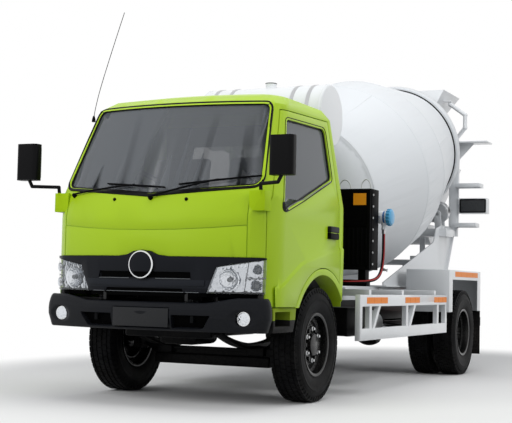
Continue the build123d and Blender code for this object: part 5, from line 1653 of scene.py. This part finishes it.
@dataclass
class Hose:
    """Bent rubber hose with a red stripe, from the meter round the cooler's foot."""

    route: Sequence[Point] = ((-1.030, 0.945, 1.267), (-1.030, 0.945, 1.18),
                              (-1.028, 0.946, 1.06), (-0.990, 0.947, 0.945),
                              (-0.900, 0.944, 0.880), (-0.790, 0.910, 0.858),
                              (-0.715, 0.800, 0.850), (-0.700, 0.640, 0.846),
                              (-0.700, 0.450, 0.842), (-0.700, 0.330, 0.836))

    def build(self) -> None:
        """Builds the hose, its stripe and its end nut."""
        route = [Vector((ahead(x), y, z)) for x, y, z in self.route]
        hose = Bench.pipe("hose_look", route, 0.0125, SEAL, CHASSIS, curved=True, sides=4)
        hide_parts("meter_hose")
        stripe = [point + Vector((0.0055, 0.0075, 0.0045)) for point in route]
        Bench.pipe("hose_stripe", stripe, 0.0058, RED_HOSE, CHASSIS, curved=True)
        Bench.turned("hose_nut", route[0] - Vector((0.0, 0.0, 0.035)), UP,
                     ((0.0, 0.017), (0.034, 0.017)), STEEL, CHASSIS, 6)


@dataclass
class Belly:
    """Dark sump, radiator cowl, axle drop centre and spring pads under the cab."""

    # columns: name, low corner, high corner, edge radius
    blocks: Sequence[tuple[str, Point, Point, float]] = (
        ("axle_drop", (-0.040, -0.470, 0.222), (0.040, 0.470, 0.300), 0.012),
        ("radiator_cowl", (0.640, -0.330, 0.445), (0.700, 0.330, 0.640), 0.015),
        ("sump", (0.100, -0.200, 0.385), (0.480, 0.100, 0.520), 0.045),
        ("spring_pad_0", (-0.070, -0.440, 0.300), (0.070, -0.310, 0.372), 0.010),
        ("spring_pad_1", (-0.070, 0.310, 0.300), (0.070, 0.440, 0.372), 0.010),
    )

    def build(self) -> None:
        """Builds the blocks."""
        for name, low, high, radius in self.blocks:
            Bench.block(name, low, high, BLACK, CHASSIS, radius, 3)


# ------------------------------------------------------------------ mixer


@dataclass
class Drum:
    """Weld seams of the drum, and black bands at the running ring's edges, painted shadow in
    the gaps there.

    Attributes:
        origin: Where stations along the drum's axis start.
        profile: Rows of station and the drum's radius there.
        seam: Rows of place along a seam's station and growth of the radius.
        ring: Stations of the running ring's front and rear edge.
    """

    origin: Point = (ahead(-1.0), 0.0, 1.390)
    profile: Sequence[Pair] = ((0.300, 0.19), (0.563, 0.698), (1.445, 0.886), (2.013, 0.871),
                               (3.70, 0.553))
    seam: Sequence[Pair] = ((-0.007, -0.002), (-0.003, 0.0022), (0.003, 0.0022),
                            (0.007, -0.002))
    ring: Sequence[tuple[str, float]] = (("front", 3.176), ("rear", 3.294))
    # columns: two stations, angle round the drum in degrees
    welds: Sequence[Triple] = (
        (0.75, 1.445, 28.0), (2.013, 2.85, 74.0), (1.445, 2.013, 118.0), (2.3, 3.17, 250.0))

    def build(self) -> None:
        """Builds the seams, the painted shadow bands at the ring's edges and the long welds."""
        tilt = math.radians(DRUM_TILT)
        axis = Vector((-math.cos(tilt), 0.0, math.sin(tilt)))
        up = Vector((axis.z, 0.0, -axis.x))
        for index, (station, radius) in enumerate(self.profile[1:-1]):
            seam = [(station + along, radius + grow) for along, grow in self.seam]
            Bench.turned(f"drum_seam_{index}", self.origin, axis, seam, DRUM_WHITE, DRUM, 128,
                         closed=False, degrees=60.0)
        # Black rubber-finish bands at the ring's edges: painted shadow in the gaps there.
        for label, station in self.ring:
            Bench.turned("drum_ring_shadow_" + label, self.origin, axis,
                         band(station - 0.005, station + 0.005,
                              read(self.profile, station), -0.01, 0.012), SEAL, DRUM, 128,
                         closed=False)
        for index, (start, end, angle) in enumerate(self.welds):
            turn = math.radians(angle)
            out = up * math.cos(turn) + Vector((0.0, math.sin(turn), 0.0))
            line = [Vector(self.origin) + axis * station
                    + out * (read(self.profile, station) + 0.0002)
                    for station in (start, blend(start, end, 0.5), end)]
            Bench.pipe(f"drum_weld_{index}", line, 0.0028, DRUM_WHITE, DRUM)


@dataclass
class Tank:
    """Rims, straps and cap of the water tank.

    Attributes:
        centre: Middle of the tank.
        radius: Its radius.
        half: Half its length.
        rim: Rows of distance in from the end and growth of the radius.
        straps: Where each side's straps start, from the middle.
    """

    centre: Point = (ahead(-0.920), 0.0, 2.165)
    radius: float = 0.248
    half: float = 0.535
    rim: Sequence[Pair] = ((0.030, -0.001), (0.028, 0.003), (0.014, 0.003), (0.004, -0.006),
                           (0.003, -0.020))
    straps: Pair = (0.26, 0.40)

    def build(self) -> None:
        """Builds the end rims, the straps and the filler cap."""
        for side, _ in SIDES:
            rim = [(side * (self.half - inset), self.radius + grow) for inset, grow in self.rim]
            Bench.turned(f"tank_rim_{side + 1}", self.centre, ASIDE, rim, WHITE, CHASSIS, 72,
                         closed=False, degrees=40.0)
            for place in self.straps:
                strap = band(side * place, side * (place + 0.03), self.radius, -0.001, 0.003)
                Bench.turned(f"tank_strap_{side + 1}_{int(place * 100)}", self.centre, ASIDE,
                             strap, STEEL, CHASSIS, 72, closed=False)
        top = Vector(self.centre) + Vector((0.0, 0.0, self.radius + 0.028))
        Bench.turned("tank_cap", top, UP,
                     ((0.0, 0.040), (0.008, 0.049), (0.011, 0.045), (0.0118, 0.020)), SOOT,
                     CHASSIS, 32)


@dataclass
class WaterGear:
    """Oil cooler's panel, label, hoops and bolts, and the water meter with its fittings.

    Attributes:
        meter: Middle of the water meter's face.
        bolts: Count of the bolts up the cooler's edge.
        hoops: Rows of the two feet of each lifting hoop, aside.
        lobes: Count of the lobes round the meter's cap.
    """

    meter: Point = (ahead(-1.030), 0.975, 1.362)
    bolts: int = 7
    hoops: Sequence[Pair] = ((0.640, 0.735), (0.825, 0.900))
    lobes: int = 16
    # columns: name, low corner, high corner, finish, edge radius, faces across the edge
    panels: Sequence[tuple[str, Point, Point, Finish, float, int]] = (
        ("panel", (-0.752, 0.462, 1.278), (-0.742, 0.922, 1.556), BLACK_AND_PAINTED_SHADE, 0.004, 2),
        ("edge", (-0.915, 0.934, 0.955), (-0.765, 0.9385, 1.556), COOLER, 0.002, 2),
        ("post", (-0.752, 0.908, 0.952), (-0.738, 0.9345, 1.560), COOLER, 0.003, 2),
        ("label", (-0.7425, 0.795, 1.440), (-0.7410, 0.900, 1.530), LABEL, 0.0006, 1))
    # columns: name, place from the meter, axis, rows of distance and radius, finish, sides
    rounds: Sequence[tuple[str, Point, Point, Sequence[Pair], Finish, int]] = (
        ("meter_body", (0.0, 0.0, 0.0), ASIDE,
         ((-0.080, 0.030), (-0.079, 0.044), (-0.066, 0.050), (-0.040, 0.051), (-0.030, 0.046),
          (-0.014, 0.046), (-0.012, 0.052), (-0.001, 0.052)), METER_BODY, 40),
        ("meter_collar", (0.0, 0.0, 0.0), ASIDE,
         ((-0.029, 0.0455), (-0.028, 0.0495), (-0.016, 0.0495), (-0.015, 0.0455)),
         DARK_BLUE, 40),
        ("meter_cap", (0.0, 0.0, 0.0), ASIDE,
         ((0.000, 0.050), (0.004, 0.062), (0.030, 0.063), (0.040, 0.054), (0.046, 0.030),
          (0.047, 0.004)), BLUE, 48),
        ("meter_elbow", (0.0, -0.030, 0.0), (0.0, 0.0, -1.0),
         ((0.040, 0.024), (0.060, 0.024), (0.062, 0.019), (0.078, 0.019), (0.080, 0.022),
          (0.096, 0.022)), WHITE, 8),
        ("drain_tap", (0.0, -0.030, -0.407), (0.0, 1.0, -0.2),
         ((0.0, 0.012), (0.014, 0.012), (0.016, 0.008), (0.030, 0.008), (0.032, 0.014),
          (0.036, 0.014)), STEEL, 12))

    def cooler(self) -> None:
        """Builds the cooler's upper panel, edge strip, blank label and lifting hoops."""
        for name, low, high, finish, radius, segments in self.panels:
            Bench.block("cooler_" + name, low, high, finish, CHASSIS, radius, segments)
        for index in range(self.bolts):
            height = blend(0.99, 1.52, index / (self.bolts - 1))
            Bench.turned(f"cooler_bolt_{index}", (ahead(-0.79), 0.9385, height), ASIDE,
                         ((0.0, 0.009), (0.005, 0.009), (0.006, 0.007)), STEEL, CHASSIS, 6)
        for index, (start, end) in enumerate(self.hoops):
            loop = [(ahead(-0.84), aside, height)
                    for aside, height in ((start, 1.560), (start - 0.004, 1.610),
                                          ((start + end) / 2, 1.655), (end + 0.004, 1.610),
                                          (end, 1.560))]
            Bench.pipe(f"cooler_hoop_{index}", loop, 0.004, STEEL, CHASSIS, curved=True)

    def water_meter(self) -> None:
        """Builds the meter's body, blue collar, scalloped cap, elbow and tap."""
        for name, place, axis, rows, finish, sides in self.rounds:
            Bench.turned(name, Vector(self.meter) + Vector(place), axis, rows,
                                      finish, CHASSIS, sides, closed=name != "meter_collar")
        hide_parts("water_meter")
        Bench.clear()
        bpy.ops.mesh.primitive_cylinder_add(vertices=10, radius=0.0075, depth=0.030,
                                            location=(0.0, 0.0, 0.017))
        knob = Bench.settle(bpy.context.object)
        Bench.apply(knob, "BEVEL", width=0.002, segments=1, limit_method="ANGLE")
        stand = Matrix.Translation(self.meter) @ Matrix.Rotation(math.radians(-90.0), 4, "X")
        Bench.repeated(knob, [stand @ Matrix.Rotation(math.tau * step / self.lobes, 4, "Z")
                              @ Matrix.Translation((0.0602, 0.0, 0.0))
                              for step in range(self.lobes)])
        Bench.done(knob, "meter_cap_lobes", BLUE, CHASSIS)
        pipe = Vector(self.meter) + Vector((0.0, -0.060, 0.0))
        Bench.pipe("meter_inlet", [pipe, pipe + Vector((0.105, 0.0, 0.0))], 0.019, STEEL,
                   CHASSIS, sides=6)

    def build(self) -> None:
        """Builds the cooler's trims and the meter."""
        self.cooler()
        self.water_meter()


@dataclass
class Markers:
    """Amber side reflectors and the control box's window.

    Attributes:
        gap: Half the gap between two reflectors.
        pane: Rear face of the control box, ahead.
        window: Corners of its frame, aside and up.
    """

    gap: float = 0.002
    # columns: name, count, rear end, front end, two places aside, foot, top
    strips: Sequence[tuple[str, int, float, float, Pair, float, float]] = (
        ("guard_reflector_{}_0_{}", 3, -1.127, -0.641, (0.9545, 0.9565), 0.690, 0.738),
        ("guard_reflector_{}_1_{}", 3, -1.970, -1.572, (0.9545, 0.9565), 0.690, 0.738),
        ("guard_reflector_{}_2_{}", 3, -2.790, -2.396, (0.9545, 0.9565), 0.690, 0.738),
        ("mudguard_reflector_{}_{}", 4, -3.835, -3.010, (0.9715, 0.9735), 0.928, 0.976))
    pane: float = -4.639
    window: Sequence[Pair] = ((0.562, 1.640), (0.838, 1.640), (0.838, 1.776), (0.562, 1.776))

    def build(self) -> None:
        """Builds the reflectors, and the black frame and dark pane of the control box."""
        for side, _ in SIDES:
            for name, count, rear, front, (near, far), low, high in self.strips:
                for part in range(count):
                    start, end = (blend(rear, front, (part + step) / count)
                                  for step in (0, 1))
                    Bench.block(name.format(side + 1, part),
                                (start + self.gap, side * near, low),
                                (end - self.gap, side * far, high), AMBER, CHASSIS, 0.0008, 1)
        loop = Outline.rounded([Vector(corner) for corner in self.window], 0.012, 4, 4)
        Bench.pipe("control_frame", [(ahead(self.pane), point.x, point.y) for point in loop],
                   0.007, SOOT, CHASSIS, closed=True)
        Bench.block("control_pane", (self.pane - 0.006, 0.566, 1.644),
                    (self.pane - 0.003, 0.834, 1.772), PANE, CHASSIS, 0.001, 1)


# ------------------------------------------------------------------ studio


@dataclass
class Studio:
    """Floor, lamps, world and camera.

    Attributes:
        eye: The camera's place.
        yaw: Direction of view from +X about +Z, in degrees.
        pitch: Rise of the view, in degrees.
        roll: Roll about the view, in degrees.
        focal: Focal length as a multiple of the frame's width.
        shift: Shift of the frame sideways and up.
        sky: Strength of the light from all round.
        patch: Half length and half width of the floor that shows the shadow, in metres.
    """

    eye: Triple = (9.7501, 3.9401, 0.8188)
    yaw: float = -154.877
    pitch: float = 3.238
    roll: float = 1.263
    focal: float = 2.28559
    shift: Pair = (-0.00492, 0.01254)
    sky: float = 0.46
    patch: Pair = (6.5, 3.6)
    # columns: name, place, point it faces, edge in metres, power in watts
    lamps: Sequence[tuple[str, Point, Point, float, float]] = (
        ("top_lamp", (1.5, 1.5, 7.5), (0.0, 0.0, 1.0), 7.0, 260.0),
        ("front_lamp", (9.0, -2.5, 4.5), (2.5, 0.0, 1.2), 4.0, 300.0),
        ("side_lamp", (1.0, 8.5, 4.0), (0.0, 0.0, 1.2), 5.0, 230.0))

    def camera(self) -> None:
        """Adds the camera and makes it the scene's."""
        yaw, pitch, roll = (math.radians(value) for value in (self.yaw, self.pitch, self.roll))
        look = Vector((math.cos(yaw) * math.cos(pitch), math.sin(yaw) * math.cos(pitch),
                       math.sin(pitch)))
        right = look.cross(Vector(UP)).normalized()
        up = right.cross(look)
        turned_right = right * math.cos(roll) + up * math.sin(roll)
        turned_up = -right * math.sin(roll) + up * math.cos(roll)
        basis = Matrix((turned_right, turned_up, -look)).transposed().to_4x4()
        data = bpy.data.cameras.new("studio_camera")
        data.sensor_width = 36.0
        data.lens = data.sensor_width * self.focal
        data.shift_x, data.shift_y = self.shift
        data.clip_end = 200.0
        camera = Bench.link("studio_camera", data)
        camera.matrix_world = Matrix.Translation(self.eye) @ basis
        bpy.context.scene.camera = camera

    def light(self) -> None:
        """Adds the soft square lamps, each one facing its point."""
        for name, place, aim, size, power in self.lamps:
            data = bpy.data.lights.new(name, "AREA")
            data.shape = "SQUARE"
            data.size = size
            data.energy = power
            lamp = Bench.link(name, data)
            lamp.location = place
            lamp.visible_glossy = False
            way = Vector(aim) - Vector(place)
            lamp.rotation_euler = way.to_track_quat("-Z", "Y").to_euler()

    def world(self) -> None:
        """Lights evenly from all round, and shows plain white behind."""
        world = bpy.data.worlds.new("studio_world")
        wire = Wiring.fresh(world)
        soft = wire.put("Background", Color=(0.96, 0.98, 1.0, 1.0), Strength=self.sky)
        bright = wire.put("Background", Color=PURE_WHITE, Strength=1.0)
        wire.put("OutputWorld",
                 Surface=wire.mix_shaders(wire.seen(), soft.outputs[0], bright.outputs[0]))
        bpy.context.scene.world = world

    def floor(self) -> None:
        """Lays the pale floor, which holds the shadow and turns plain white further out."""
        Bench.clear()
        bpy.ops.mesh.primitive_plane_add(size=160.0, location=(0.0, 0.0, -0.001))
        floor = Bench.settle(bpy.context.object)
        floor.name = "studio_floor"
        material = bpy.data.materials.new("studio_floor")
        wire = Wiring.fresh(material)
        axes = wire.axes()
        along, aside = (wire.maths("POWER", wire.maths("DIVIDE", axes[way], reach), 2.0)
                        for way, reach in zip("XY", self.patch))
        far = wire.ramp(wire.maths("ADD", along, aside), 0.45, 1.0)
        near = wire.put("BsdfDiffuse", Color=(0.78, 0.78, 0.78, 1.0))
        dull = wire.put("BsdfDiffuse", Color=(0.32, 0.32, 0.32, 1.0))
        white = wire.put("Emission", Color=PURE_WHITE, Strength=1.0)
        shown = wire.mix_shaders(far, near.outputs[0], white.outputs[0])
        wire.put("OutputMaterial",
                 Surface=wire.mix_shaders(wire.seen(), dull.outputs[0], shown))
        floor.data.materials.append(material)

    def build(self) -> None:
        """Sets up the whole studio."""
        bpy.context.scene.view_settings.view_transform = "Standard"
        self.camera()
        self.world()
        self.floor()
        self.light()


def main() -> None:
    """Builds the studio and dresses the truck."""
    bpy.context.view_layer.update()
    for part in (Studio, Skin, Glazing, Headlamps, Badge, Bumper, CabTrim, Seats, Tyres, Hubs,
                 Hose, Belly, Drum, Tank, WaterGear, Markers):
        part().build()
        log.info("%s built", part.__name__)


if __name__ == "__main__":
    main()
